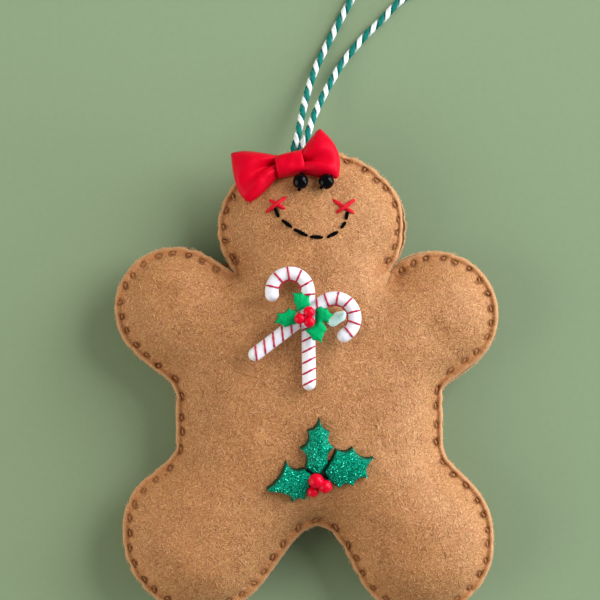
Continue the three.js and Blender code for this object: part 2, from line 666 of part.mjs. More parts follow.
function knotGeometry() {
  const mouth = (KNOT_WIDTH / 2 - LOOP_START) / (LOOP_LENGTH - LOOP_START);
  const halfWidth = loopHalfWidth(mouth) + CLEARANCE;
  const halfHeight = loopHalfHeight(mouth) + CLEARANCE;
  const section = roundedBox(new THREE.Shape(), halfWidth + KNOT_WALL, halfHeight + KNOT_WALL, 2 * KNOT_WALL);
  section.holes.push(roundedBox(new THREE.Path(), halfWidth, halfHeight, CLEARANCE));
  const band = { depth: KNOT_WIDTH, bevelEnabled: false, curveSegments: 3 };
  const geometry = new THREE.ExtrudeGeometry(section, band);
  geometry.translate(0, 0, -KNOT_WIDTH / 2);
  geometry.rotateX(Math.PI / 2);
  geometry.rotateZ(Math.PI / 2);
  return geometry;
}

const bow = new THREE.Group();
ornament.add(bow);
place("bow_left_loop", ribbonLoop(-1), satinRed, bow);
place("bow_right_loop", ribbonLoop(1), satinRed, bow);
place("bow_knot", knotGeometry(), satinRed, bow);
bow.rotation.set(-BOW_LEAN, 0, BOW_TURN, "ZYX");
bow.position.set(HEAD_X + BOW_X, HEAD_Y + BOW_Y, 0);
seatOnFelt(bow);

// Canes: a straight shaft and a hook; side is -1 for a hook to the left and +1 to the right
function caneCurve(side, shaft, hookRadius, x, y, turn) {
  const points = [0, 0.25, 0.5, 0.75].map((share) => new THREE.Vector3(0, share * shaft, 0));
  const HOOK_POINTS = 9;
  for (let i = 0; i <= HOOK_POINTS; i += 1) {
    const angle = (HOOK_TURN * i) / HOOK_POINTS;
    const across = hookRadius * (1 - Math.cos(angle));
    points.push(new THREE.Vector3(side * across, shaft + hookRadius * Math.sin(angle), 0));
  }
  const tipEnd = points[points.length - 1].clone();
  tipEnd.x += side * CANE_TIP * Math.sin(HOOK_TURN);
  tipEnd.y += CANE_TIP * Math.cos(HOOK_TURN);
  points.push(tipEnd);
  const matrix = new THREE.Matrix4().makeRotationZ(turn).setPosition(x, y, 0);
  return new THREE.CatmullRomCurve3(points.map((p) => p.applyMatrix4(matrix)), false, "centripetal");
}

const CANE_STEPS = 30;
const uprightCurve = caneCurve(-1, UPRIGHT_SHAFT, UPRIGHT_HOOK, UPRIGHT_X, UPRIGHT_Y, UPRIGHT_TURN);
const uprightCane = place("upright_cane", tube(uprightCurve, CANE_DIAMETER, CANE_STEPS, 8), caneWhite);
seatOnFelt(uprightCane);
const slantedCurve = caneCurve(1, SLANTED_SHAFT, SLANTED_HOOK, SLANTED_X, SLANTED_Y, SLANTED_TURN);
const slantedRound = new THREE.Mesh(tube(slantedCurve, CANE_DIAMETER, CANE_STEPS, 8));
const slantedZ = Math.max(uprightCane.position.z + CANE_STEP_UP, liftOverFelt(slantedRound));
const groove = tube(uprightCurve, CANE_DIAMETER + 2 * CLEARANCE, CANE_STEPS, 8);
groove.translate(0, 0, uprightCane.position.z - slantedZ);
const slanted = toGeometry(toSolid(slantedRound.geometry).subtract(toSolid(groove)));
place("slanted_cane", slanted, caneWhite).position.z = slantedZ;

// Leaves: a spiny outline with a raised middle
function leafGeometry(leaf, thickness, ridge) {
  const half = leaf.width / 2;
  const side = (sign) => [
    [0, sign * half * LEAF_BASE],
    ...LEAF_SPINES.map(([along, across]) => [along * leaf.length, sign * half * across]),
    [leaf.length, 0],
  ];
  const outline = new THREE.Path();
  const lower = side(-1);
  const upper = side(1).reverse();
  const corners = [...lower, ...upper.slice(1)];
  outline.moveTo(...corners[0]);
  corners.slice(1).forEach(([x, y], i) => {
    const [fromX, fromY] = corners[i];
    const drawnIn = ((fromY + y) / 2) * LEAF_SCALLOP;
    outline.quadraticCurveTo((fromX + x) / 2, drawnIn, x, y);
  });
  const points = outline.getPoints(3);
  const towardsMiddle = (p) => {
    const x = THREE.MathUtils.clamp(p.x, LEAF_RIB_MARGIN * leaf.length, (1 - LEAF_RIB_MARGIN) * leaf.length);
    return p.clone().lerp(new THREE.Vector2(x, 0), LEAF_RIB_SHARE);
  };
  const rings = [points, points.map(towardsMiddle)];
  const raised = (heights) =>
    rings.map((ring, i) => ring.map((p) => new THREE.Vector3(p.x, p.y, heights[i])));
  const cap = capTriangles(rings[rings.length - 1]);
  return closedForm(raised([thickness, thickness + ridge]), raised([0, 0]), cap);
}

const CANE_LEAF_Z = slantedZ + CANE_DIAMETER / 2 + CLEARANCE;
for (const [name, leaves] of Object.entries(CANE_LEAVES)) {
  const solids = leaves.map((leaf) => {
    const geometry = leafGeometry(leaf, CANE_LEAF_THICKNESS, 0);
    const turned = new THREE.Euler(0, CANE_LEAF_DROOP, THREE.MathUtils.degToRad(leaf.turn), "ZYX");
    const matrix = new THREE.Matrix4().makeRotationFromEuler(turned).setPosition(leaf.x, leaf.y, CANE_LEAF_Z);
    return toSolid(geometry.applyMatrix4(matrix));
  });
  place(name, toGeometry(solids.reduce((whole, lobe) => whole.add(lobe))), leafGreen);
}

for (const [name, [leaf]] of Object.entries(HOLLY_LEAVES)) {
  const mesh = place(name, leafGeometry(leaf, HOLLY_LEAF_THICKNESS, HOLLY_RIDGE), glitterGreen);
  const turn = THREE.MathUtils.degToRad(leaf.turn);
  const middle = new THREE.Vector2(Math.cos(turn), Math.sin(turn)).multiplyScalar(leaf.length / 2);
  const slopeAcross = (dx, dy) => {
    const ahead = feltTop(leaf.x + middle.x + dx, leaf.y + middle.y + dy);
    return (ahead - feltTop(leaf.x + middle.x - dx, leaf.y + middle.y - dy)) / 2;
  };
  const normal = new THREE.Vector3(-slopeAcross(1, 0), -slopeAcross(0, 1), 1).normalize();
  const tilt = new THREE.Quaternion().setFromUnitVectors(new THREE.Vector3(0, 0, 1), normal);
  mesh.quaternion.setFromAxisAngle(new THREE.Vector3(0, 0, 1), turn).premultiply(tilt);
  mesh.position.set(leaf.x, leaf.y, 0);
  seatOnFelt(mesh);
}

// Berries
function berry(name, x, y, diameter) {
  const mesh = place(name, new THREE.SphereGeometry(diameter / 2, 10, 7), berryRed);
  mesh.position.set(x, y, 0);
  return mesh;
}
CANE_BERRIES.forEach(([x, y], i) => {
  const mesh = berry(`cane_berry_${i + 1}`, x, y, CANE_BERRY_DIAMETER);
  mesh.position.z = CANE_LEAF_Z + CANE_LEAF_THICKNESS + CLEARANCE + CANE_BERRY_DIAMETER / 2;
});
HOLLY_BERRIES.forEach(([x, y, diameter], i) => {
  seatOnFelt(berry(`holly_berry_${i + 1}`, x, y, diameter));
});

// Glue dab
const dab = new THREE.SphereGeometry(0.5, 10, 6);
dab.scale(GLUE_LENGTH, GLUE_HEIGHT, GLUE_WIDTH);
dab.rotateX(Math.PI / 2);
const glue = place("cane_glue", dab, glueClear);
glue.rotation.z = GLUE_TURN;
glue.position.set(GLUE_X, GLUE_Y, 0);
seatOnFelt(glue);

// The origin goes to the middle of the object's footprint, on the table
const footprint = new THREE.Box3();
ornament.updateMatrixWorld(true);
for (const mesh of ornament.children.filter((child) => child.name !== "hanging_loop")) {
  footprint.expandByObject(mesh, true);
}
const middle = footprint.getCenter(new THREE.Vector3());
ornament.position.set(-middle.x, -middle.y, -footprint.min.z);

export default ornament;
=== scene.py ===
import math

import bpy
import numpy as np
from mathutils import Matrix, Vector, kdtree, noise
from mathutils.bvhtree import BVHTree
from mathutils.geometry import delaunay_2d_cdt


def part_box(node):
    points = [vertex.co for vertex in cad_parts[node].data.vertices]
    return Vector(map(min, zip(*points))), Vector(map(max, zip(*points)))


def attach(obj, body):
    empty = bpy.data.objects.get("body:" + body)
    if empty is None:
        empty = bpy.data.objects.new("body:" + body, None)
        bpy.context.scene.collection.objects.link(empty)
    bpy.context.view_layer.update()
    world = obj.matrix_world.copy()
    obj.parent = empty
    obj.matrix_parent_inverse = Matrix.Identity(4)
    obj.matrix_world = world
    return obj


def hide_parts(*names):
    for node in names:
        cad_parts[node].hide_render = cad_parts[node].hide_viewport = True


# A stuffed felt gingerbread figure that lies on its back: +X is the viewer's right, +Y the head, +Z up.
# Sizes are written in millimetres from the figure's own centre and turned into the frame's metres.
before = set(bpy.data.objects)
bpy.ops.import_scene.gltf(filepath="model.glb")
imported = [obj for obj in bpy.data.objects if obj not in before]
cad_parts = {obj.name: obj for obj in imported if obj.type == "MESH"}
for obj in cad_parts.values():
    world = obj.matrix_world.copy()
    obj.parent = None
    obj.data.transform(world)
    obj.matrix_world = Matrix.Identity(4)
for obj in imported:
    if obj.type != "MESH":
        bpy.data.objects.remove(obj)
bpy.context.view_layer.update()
scene = bpy.context.scene


# Camera, light and floor
# A flat-lay picture on green paper from straight above. Soft daylight comes from the upper right, a low
# window light from the right brings out the slopes, and a pale wall on the left and the room fill it evenly.
FRAME_SHIFT = (0.3245, -1.5692)
SEAM_HEIGHT = 9.35
PICTURE_WIDTH = 150.0
PICTURE_MIDDLE = (-2.0, 19.25)
CAMERA_HEIGHT = 900.0
SENSOR = 36.0
FLOOR_HALF = 2.0
FLOOR_DROP = 2e-5
FLOOR_CORNERS = ((-1, -1), (1, -1), (1, 1), (-1, 1))


def in_frame(x, y, z=0.0):
    """A place in the frame's metres."""
    return ((x + FRAME_SHIFT[0]) / 1000, (y + FRAME_SHIFT[1]) / 1000, z / 1000)


def add_object(name, data):
    made = bpy.data.objects.new(name, data)
    scene.collection.objects.link(made)
    return made


camera_data = bpy.data.cameras.new("camera")
camera_data.sensor_width = SENSOR
camera_data.lens = SENSOR * CAMERA_HEIGHT / PICTURE_WIDTH
camera_data.clip_end = 10
camera = add_object("camera", camera_data)
camera.location = in_frame(*PICTURE_MIDDLE, SEAM_HEIGHT + CAMERA_HEIGHT)
scene.camera = camera
scene.view_settings.view_transform = "Standard"


def add_lamp(name, place, size, energy, colour):
    lamp_data = bpy.data.lights.new(name, "AREA")
    lamp_data.shape = "DISK"
    lamp_data.size = size
    lamp_data.energy = energy
    lamp_data.color = colour
    lamp = add_object(name, lamp_data)
    lamp.location = place
    lamp.rotation_euler = (-lamp.location).to_track_quat("-Z", "Y").to_euler()


add_lamp("key", place=(0.92, 0.56, 0.6), size=1.05, energy=21.2, colour=(0.99, 1.0, 1.04))
add_lamp("window", place=(1.08, -0.06, 0.2), size=0.4, energy=5.0, colour=(0.8, 1.03, 1.2))
add_lamp("reflector", place=(-0.85, -0.15, 0.38), size=0.9, energy=6.1, colour=(1.0, 0.97, 0.9))


def set_inputs(node, **values):
    """Sets a node's inputs by name, with an underscore for each space."""
    for name, value in values.items():
        node.inputs[name.replace("_", " ")].default_value = value
    return node


def add_node(tree, kind, **values):
    return set_inputs(tree.nodes.new(kind), **values)


world = bpy.data.worlds.new("fill")
world.use_nodes = True
set_inputs(world.node_tree.nodes["Background"], Color=(0.97, 0.985, 0.9, 1), Strength=0.3)
scene.world = world


def new_material(name, **finish):
    material = bpy.data.materials.new(name)
    material.use_nodes = True
    shader = material.node_tree.nodes["Principled BSDF"]
    set_inputs(shader, **finish)
    return material, material.node_tree, shader


def add_relief(tree, shader, height, strength, distance):
    """Fine relief from a height that changes over the surface."""
    bump = add_node(tree, "ShaderNodeBump", Strength=strength, Distance=distance)
    tree.links.new(height, bump.inputs["Height"])
    tree.links.new(bump.outputs["Normal"], shader.inputs["Normal"])


COLOUR = "NodeSocketColor"
VALUE = "NodeSocketFloat"


def new_group(name, inputs, outputs):
    """A shader group with named sockets: the group, its inputs and outputs, and the object's coordinates."""
    group = bpy.data.node_groups.new(name, "ShaderNodeTree")
    for way, sockets in (("INPUT", inputs), ("OUTPUT", outputs)):
        for socket, kind in sockets.items():
            group.interface.new_socket(socket, in_out=way, socket_type=kind)
    taken = group.nodes.new("NodeGroupInput")
    given = group.nodes.new("NodeGroupOutput")
    place = group.nodes.new("ShaderNodeTexCoord")
    return group, taken.outputs, given.inputs, place.outputs["Object"]


def mottle_group():
    """Soft clouds that drift from one colour to another."""
    shape = ("Scale", "Detail", "Roughness", "Distortion")
    inputs = {**{name: VALUE for name in shape}, "Low": COLOUR, "High": COLOUR}
    group, taken, given, place = new_group("mottle", inputs, {"Color": COLOUR, "Clouds": VALUE})
    clouds = add_node(group, "ShaderNodeTexNoise")
    group.links.new(place, clouds.inputs["Vector"])
    for name in shape:
        group.links.new(taken[name], clouds.inputs[name])
    mix = add_node(group, "ShaderNodeMix")
    mix.data_type = "RGBA"
    group.links.new(clouds.outputs["Fac"], mix.inputs["Factor"])
    group.links.new(taken["Low"], mix.inputs["A"])
    group.links.new(taken["High"], mix.inputs["B"])
    group.links.new(mix.outputs["Result"], given["Color"])
    group.links.new(clouds.outputs["Fac"], given["Clouds"])
    return group


mottle = mottle_group()


def add_mottle(tree, scale, detail, roughness=0.5, distortion=0.0):
    node = add_node(tree, "ShaderNodeGroup")
    node.node_tree = mottle
    return set_inputs(node, Scale=scale, Detail=detail, Roughness=roughness, Distortion=distortion)


def mottled_material(name, low, high, clouds, relief=None, **finish):
    """A surface between two colours: clouds holds their scale and detail, relief a strength and a height."""
    material, tree, shader = new_material(name, **finish)
    tone = add_mottle(tree, *clouds)
    set_inputs(tone, Low=(*low, 1), High=(*high, 1))
    tree.links.new(tone.outputs["Color"], shader.inputs["Base Color"])
    if relief:
        add_relief(tree, shader, tone.outputs["Clouds"], *relief)
    return material


floor_mesh = bpy.data.meshes.new("floor")
floor_points = [(FLOOR_HALF * x, FLOOR_HALF * y, -FLOOR_DROP) for x, y in FLOOR_CORNERS]
floor_mesh.from_pydata(floor_points, [], [(0, 1, 2, 3)])
floor = add_object("floor", floor_mesh)
floor_mesh.materials.append(mottled_material(
    "floor_paper", (0.243, 0.32, 0.19), (0.262, 0.344, 0.208), (700.0, 3.0),
    Roughness=0.9, Specular_IOR_Level=0.1,
))


# Hanging loop
# Two-ply cotton twine, one ply green and one white, twisted left-handed. Its two strands leave the seam at
# the top of the head behind the bow; the ends are knotted together in the filling.
def smooth_route(points, spacing):
    """Even points on a smooth curve through some points."""
    points = np.array(points, float)
    padded = np.vstack([2 * points[0] - points[1], points, 2 * points[-1] - points[-2]])
    fine = []
    for p0, p1, p2, p3 in zip(padded, padded[1:], padded[2:], padded[3:]):
        steps = [np.sqrt(np.linalg.norm(b - a)) for a, b in ((p0, p1), (p1, p2), (p2, p3))]
        t0, t1, t2, t3 = np.cumsum([0] + steps)
        t = np.linspace(t1, t2, 24, endpoint=False)[:, None]
        a1 = ((t1 - t) * p0 + (t - t0) * p1) / (t1 - t0)
        a2 = ((t2 - t) * p1 + (t - t1) * p2) / (t2 - t1)
        a3 = ((t3 - t) * p2 + (t - t2) * p3) / (t3 - t2)
        b1 = ((t2 - t) * a1 + (t - t0) * a2) / (t2 - t0)
        b2 = ((t3 - t) * a2 + (t - t1) * a3) / (t3 - t1)
        fine.append(((t2 - t) * b1 + (t - t1) * b2) / (t2 - t1))
    return even_points(np.vstack(fine + [points[-1:]]), spacing)


def even_points(points, spacing):
    """The same polyline with its points at even distances."""
    lengths = np.concatenate([[0], np.cumsum(np.linalg.norm(np.diff(points, axis=0), axis=1))])
    count = max(2, int(round(lengths[-1] / spacing)) + 1)
    wanted = np.linspace(0, lengths[-1], count)
    return np.column_stack([np.interp(wanted, lengths, points[:, i]) for i in range(points.shape[1])])


def run_along(path):
    """Distances along a path of even points."""
    return np.arange(len(path)) * np.linalg.norm(path[1] - path[0])


def sides_along(path):
    """Two unit vectors across a path at each point, turning no more than the path does."""
    tangents = np.gradient(path, axis=0)
    tangents /= np.linalg.norm(tangents, axis=1)[:, None]
    side = np.cross(tangents[0], (0, 0, 1) if abs(tangents[0][2]) < 0.9 else (0, 1, 0))
    across = []
    for tangent in tangents:
        side = side - tangent * np.dot(side, tangent)
        side /= np.linalg.norm(side)
        across.append(side.copy())
    across = np.array(across)
    return across, np.cross(tangents, across)


def full_turn(count):
    return np.linspace(0, 2 * math.pi, count, endpoint=False)


def swept(path, sections):
    """Points and faces of a closed tube; sections holds each point's offsets along the path's two sides."""
    first, second = sides_along(path)
    count = sections.shape[1]
    rings = path[:, None, :] + sections[:, :, :1] * first[:, None, :]
    rings = rings + sections[:, :, 1:] * second[:, None, :]
    faces = []
    for i in range(len(path) - 1):
        for j in range(count):
            k = (j + 1) % count
            faces.append((i * count + j, i * count + k, (i + 1) * count + k, (i + 1) * count + j))
    last = (len(path) - 1) * count
    faces.append(tuple(reversed(range(count))))
    faces.append(tuple(range(last, last + count)))
    return rings.reshape(-1, 3), faces


def join(mesh, points, faces, mark):
    """Adds points and faces, with the number of their material, to a mesh kept as three lists."""
    first = len(mesh[0])
    mesh[0].extend(map(tuple, points))
    mesh[1].extend(tuple(i + first for i in face) for face in faces)
    mesh[2].extend([mark] * len(faces))


def add_piece(name, points, faces, materials, marks=None):
    """A smooth mesh object from points in the figure's millimetres."""
    points = np.asarray(points, float)
    mesh = bpy.data.meshes.new(name)
    mesh.from_pydata([in_frame(*p) for p in points], [], [tuple(map(int, f)) for f in faces])
    for material in materials:
        mesh.materials.append(material)
    if marks is not None:
        mesh.polygons.foreach_set("material_index", np.asarray(marks, np.int32))
    mesh.polygons.foreach_set("use_smooth", np.ones(len(mesh.polygons), bool))
    mesh.validate()
    mesh.update()
    return add_object(name, mesh)


def stand_for(piece, body, slot, *nodes):
    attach(piece, body)
    if nodes:
        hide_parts(*nodes)
    return piece


YARN_CLOUDS = (5200.0, 3.0, 0.6)
YARN_RELIEF = (0.5, 0.0001)


def yarn_material(name, colour, pale, roughness, gloss=0.12):
    """Spun cotton: fine streaks of a paler tone and a fuzzy surface."""
    return mottled_material(
        name, colour, pale, YARN_CLOUDS, YARN_RELIEF, Roughness=roughness, Specular_IOR_Level=gloss
    )


TWINE_PITCH = 5.2
TWINE_STEP = 0.22
PLY_OFFSET = 0.45
PLY_DEEP = 0.42
PLY_WIDE = 0.72
PLY_SIDES = 14
YARNS = 5
YARN_RISE = 0.07
YARN_PITCH = 1.7
TABLE = 0.85
LOOP_ROUTE = [
    (-4.0, 55.4, 9.35), (-3.4, 57.5, 9.35), (-2.5, 60.6, 9), (-1.4, 66.2, 6.4), (-0.2, 71.3, 3.8),
    (1.9, 77.5, 1.9), (4.1, 82.2, 1.1), (6.9, 87.6, TABLE), (10.5, 94.3, TABLE), (15.3, 102.6, TABLE),
    (21.4, 110.8, TABLE), (28.8, 117, TABLE), (36, 118.2, TABLE), (40.4, 113.6, TABLE), (38.9, 106.8, TABLE),
    (31.8, 100.6, TABLE), (22.8, 94.3, TABLE), (18.7, 90, TABLE), (14.9, 86.4, TABLE), (11.7, 82.8, 1),
    (8.8, 79.2, 1.5), (5.9, 74.4, 2.8), (3, 68.9, 5), (0.9, 63.9, 7.5), (-0.4, 59.9, 9.3),
    (-1.7, 57.5, 9.35), (-2.0, 55.4, 9.35),
]
twine_green = yarn_material("twine_green", (0.002, 0.13, 0.105), (0.01, 0.25, 0.21), 0.85)
twine_white = yarn_material("twine_white", (0.8, 0.88, 0.9), (0.93, 0.97, 0.98), 0.85)


def twine(name, route):
    """Two plies, each of a few yarns, wound round each other along a route."""
    path = smooth_route(route, TWINE_STEP)
    run = run_along(path)
    around = full_turn(PLY_SIDES)
    mesh = ([], [], [])
    for ply in (0, 1):
        turn = (-2 * math.pi * run / TWINE_PITCH + math.pi * ply)[:, None]
        ridge = 1 + YARN_RISE * np.cos(YARNS * around[None, :] - 2 * math.pi * run[:, None] / YARN_PITCH)
        deep = PLY_OFFSET + PLY_DEEP * ridge * np.cos(around)[None, :]
        wide = PLY_WIDE * ridge * np.sin(around)[None, :]
        section = np.stack([
            deep * np.cos(turn) - wide * np.sin(turn),
            deep * np.sin(turn) + wide * np.cos(turn),
        ], axis=2)
        join(mesh, *swept(path, section), ply)
    return add_piece(name, *mesh[:2], [twine_green, twine_white], mesh[2]), path


loop, loop_path = twine("twine_loop", LOOP_ROUTE)
stand_for(loop, "loop", "twine", "hanging_loop")

# Knot of the loop
# The two ends of the same twine, tied together by hand. The knot is too big for the seam and is caught in
# the filling of the head.
KNOT = (-3.2, 47.2)
KNOT_SIZE = 2.3
KNOT_TAILS = (-4.3, -2.1)
KNOT_TAIL_ENDS = (56.1, 52.5)
knot_route = [(KNOT_TAILS[0], y, SEAM_HEIGHT) for y in KNOT_TAIL_ENDS]
for step in np.linspace(0.25, 2 * math.pi - 0.25, 24) + math.pi / 2:
    reach = KNOT_SIZE * (2 + math.cos(3 * step)) / 2
    knot_route.append((
        KNOT[0] + reach * math.cos(2 * step),
        KNOT[1] + reach * math.sin(2 * step),
        SEAM_HEIGHT + KNOT_SIZE * math.sin(3 * step) / 2,
    ))
knot_route += [(KNOT_TAILS[1], y, SEAM_HEIGHT) for y in reversed(KNOT_TAIL_ENDS)]
anchor = twine("twine_knot", knot_route)[0]
stand_for(anchor, "figure", "twine", "loop_anchor")


# Felt panels
# Two panels of craft felt cut to one outline, sewn together along the edge by hand and stuffed. The filling
# swells them up from the stitches; the back is pressed flat where it lies.
FELT = 1.2
HEAD = (1.0, 37.25, 23.6, 19.6)
NECK = math.radians(35)
ARMS = {-1: (-33.0, 17.2, 15.35), 1: (31.5, 15.5, 16.05)}
SHOULDER = math.radians(56.6)
UNDERARM = math.radians(48)
WAISTS = {-1: -33.0, 1: 33.7}
FEET = {-1: (-26.7, -39.4, 19.6), 1: (28.45, -41.7, 18.0)}
INSTEP = math.radians(45.7)
CROTCH = np.array((2.5, -37.4))
WAIST_TOP = -6.6
WAIST_PULL = -0.1
HIP = -16.4
HIP_PULL = 7.3
ANKLE_RISE = 1.4
ANKLE_PULL = 14.65
ARMPIT_PULL = 9.4
INSTEP_PULL = 7.6
CROTCH_PULL = 6
SWELL = 11.5
SWELL_REACH = 7.0
NECK_SWELL = 1.5
STITCH_INSET = 1.7
STITCH_PITCH = 4.3
STITCHES_OFF_NECK = 2.2


def arc(x, y, across, up, start, end, count=240):
    angles = np.linspace(start, end, count)
    return np.column_stack([x + across * np.cos(angles), y + up * np.sin(angles)])


def bezier(a, b, c, d, count=160):
    t = np.linspace(0, 1, count)[:, None]
    return (1 - t) ** 3 * a + 3 * t * (1 - t) ** 2 * b + 3 * t * t * (1 - t) * c + t ** 3 * d


def body_side(side):
    """One side of the outline, from the neck corner to the crotch."""
    *arm_middle, arm_radius = ARMS[side]
    waist = WAISTS[side]
    foot_x, foot_y, foot_radius = FEET[side]
    corner = np.array((HEAD[0] + side * HEAD[2] * math.cos(NECK), HEAD[1] - HEAD[3] * math.sin(NECK)))
    mirror = np.array((side, 1.0))
    arm_arc = arc(0, 0, arm_radius, arm_radius, math.pi - SHOULDER, -UNDERARM)
    arm = np.array(arm_middle) + mirror * arm_arc
    way = mirror * (-math.sin(UNDERARM), -math.cos(UNDERARM))
    pulled_up, waist_top = np.array((waist, WAIST_PULL)), np.array((waist, WAIST_TOP))
    armpit = bezier(arm[-1], arm[-1] + ARMPIT_PULL * way, pulled_up, waist_top)
    ankle = np.array((foot_x + side * foot_radius, foot_y + ANKLE_RISE))
    hip = np.array((waist, HIP))
    thigh = bezier(hip, hip + (0, -HIP_PULL), ankle + (0, ANKLE_PULL), ankle)
    foot = np.array((foot_x, foot_y)) + mirror * arc(0, 0, foot_radius, foot_radius, 0, INSTEP - math.pi)
    way = mirror * (-math.sin(INSTEP), math.cos(INSTEP))
    leg = bezier(foot[-1], foot[-1] + INSTEP_PULL * way, CROTCH + (side * CROTCH_PULL, 0), CROTCH)
    return np.vstack([corner, arm, armpit[1:], thigh, foot, leg[1:]])


def outline(spacing):
    """The figure's outline, counterclockwise from the right neck corner over the head."""
    head = even_points(arc(*HEAD, -NECK, math.pi + NECK), spacing)
    left = even_points(body_side(-1), spacing)
    right = even_points(body_side(1), spacing)[::-1]
    return np.vstack([head[:-1], left[:-1], right[:-1]])


def inward(points):
    along = np.roll(points, -1, axis=0) - np.roll(points, 1, axis=0)
    along /= np.linalg.norm(along, axis=1)[:, None]
    return np.column_stack([-along[:, 1], along[:, 0]])


COARSE = outline(1.0)


def depth_inside(points):
    """A smooth measure of how far points lie inside the outline."""
    following = np.roll(COARSE, -1, axis=0)
    length = np.linalg.norm(following - COARSE, axis=1)
    along = (following - COARSE) / length[:, None]
    result = []
    for chunk in np.array_split(points, max(1, len(points) // 3000)):
        gap = COARSE[None] - chunk[:, None]
        start = (gap * along[None]).sum(2)
        end = start + length[None]
        across = gap[:, :, 0] * along[None, :, 1] - gap[:, :, 1] * along[None, :, 0]
        square = across ** 2 + 1e-6
        pull = ((end / np.sqrt(end ** 2 + square) - start / np.sqrt(start ** 2 + square)) / square).sum(1)
        result.append(np.sqrt(2 / pull))
    return np.concatenate(result)


def bell(distance, width, power=2):
    """A hump of height 1 that falls off over a width."""
    return np.exp(-(distance / width) ** power)


EDGE_STEP = 0.25
edge = outline(EDGE_STEP)
edge_in = inward(edge)
edge_run = np.arange(len(edge)) * EDGE_STEP
edge_length = len(edge) * EDGE_STEP
edge_tree = kdtree.KDTree(len(edge))
for index, (x, y) in enumerate(edge):
    edge_tree.insert((x, y, 0), index)
edge_tree.balance()


def nearest_edge(points):
    """The edge point nearest to each point, and its distance."""
    found = [edge_tree.find((x, y, 0)) for x, y in points]
    return np.array([spot[1] for spot in found]), np.array([spot[2] for spot in found])


def round_edge(run):
    """A distance along the edge, brought to the shorter way round."""
    return (run + edge_length / 2) % edge_length - edge_length / 2


# The rim is wider under the right arm. It leans back there and on the right of the head, so that the edge of
# the back panel shows beyond the front's.
under_arm = bell(np.linalg.norm(edge - (39.0, 1.5), axis=1), 5.5)
head_side = bell(np.linalg.norm(edge - (24.2, 36.5), axis=1), 7.0)
seam_inset = STITCH_INSET + 0.9 * under_arm
lean_back = 0.5 * under_arm + 0.85 * head_side

# Hand stitches: uneven in pitch, inset, length, slant and depth; the depth sets only how dark their painted
# shade is
dice = np.random.default_rng(11)
stitch_count = int(round(edge_length / STITCH_PITCH))
stitch_order = np.arange(stitch_count) + 0.5 + dice.uniform(-0.13, 0.13, stitch_count)
stitch_run = stitch_order * edge_length / stitch_count
left_corner = (2 * HEAD[0] - edge[0, 0], edge[0, 1])
left_corner_run = edge_run[np.argmin(np.linalg.norm(edge - left_corner, axis=1))]
for corner_run in (0.0, left_corner_run):
    past = round_edge(stitch_run - corner_run)
    moved = corner_run + np.where(past < 0, -STITCHES_OFF_NECK, STITCHES_OFF_NECK)
    stitch_run = np.where(np.abs(past) < STITCHES_OFF_NECK, moved, stitch_run) % edge_length
stitch_run.sort()
stitch_at = (stitch_run / EDGE_STEP).round().astype(int) % len(edge)
stitch_inset = seam_inset[stitch_at] + dice.uniform(-0.3, 0.25, stitch_count)
stitch_half = dice.uniform(0.45, 0.85, stitch_count)
stitch_slant = dice.normal(0.15, 0.35, stitch_count)
stitch_sunk = dice.uniform(0.5, 1.0, stitch_count)
stitch_pull = dice.uniform(0.0, 1.0, stitch_count) ** 1.5


def within(points, border):
    """Whether points lie inside a closed outline, by counting crossings."""
    ends = np.roll(border, -1, axis=0)
    above = (border[:, 1][None] > points[:, 1:]) != (ends[:, 1][None] > points[:, 1:])
    rise = (points[:, 1:] - border[:, 1][None]) / (ends[:, 1] - border[:, 1] + 1e-12)[None]
    left_of = points[:, :1] < border[:, 0][None] + rise * (ends[:, 0] - border[:, 0])[None]
    return (above & left_of).sum(1) % 2 == 1


def triangle_grid(low, high, spacing):
    xs, ys = np.meshgrid(np.arange(low[0], high[0], spacing), np.arange(low[1], high[1], spacing * 0.866))
    xs[::2] += spacing / 2
    return np.column_stack([xs.ravel(), ys.ravel()])


def filled(points, rim_count, merge):
    """A flat mesh of points, the first of which are its rim: its points, its faces and the rim in turn."""
    rim_edges = [(i, (i + 1) % rim_count) for i in range(rim_count)]
    made = delaunay_2d_cdt([Vector(p) for p in points], rim_edges, [], 1, merge)
    at = {source: i for i, sources in enumerate(made[3]) for source in sources}
    flat = np.array([tuple(v) for v in made[0]])
    return flat, [tuple(face) for face in made[2]], [at[i] for i in range(rim_count)]


# Plan points: close rows along the rim, and a wider grid inside
RIM_ROWS = (0.2, 0.45, 0.7, 0.95, 1.2, 1.45, 1.7, 1.95, 2.2, 2.5, 2.9, 3.4, 4.0)
FINE_ROWS = 2.6
GRID = 1.25
GRID_INSET = 4.5
rows = []
for inset in RIM_ROWS:
    row = edge + edge_in * inset
    if inset > RIM_ROWS[0]:
        row = row[nearest_edge(row)[1] > inset - 0.12]
        if inset > FINE_ROWS:
            row = row[::4]
    rows.append(row)
grid = triangle_grid((-50, -64), (50, 60), GRID)
grid = grid[within(grid, COARSE)]
grid = grid[nearest_edge(grid)[1] > GRID_INSET]
plan, plan_faces, rim = filled(np.vstack(rows + [grid]), len(rows[0]), 1e-5)
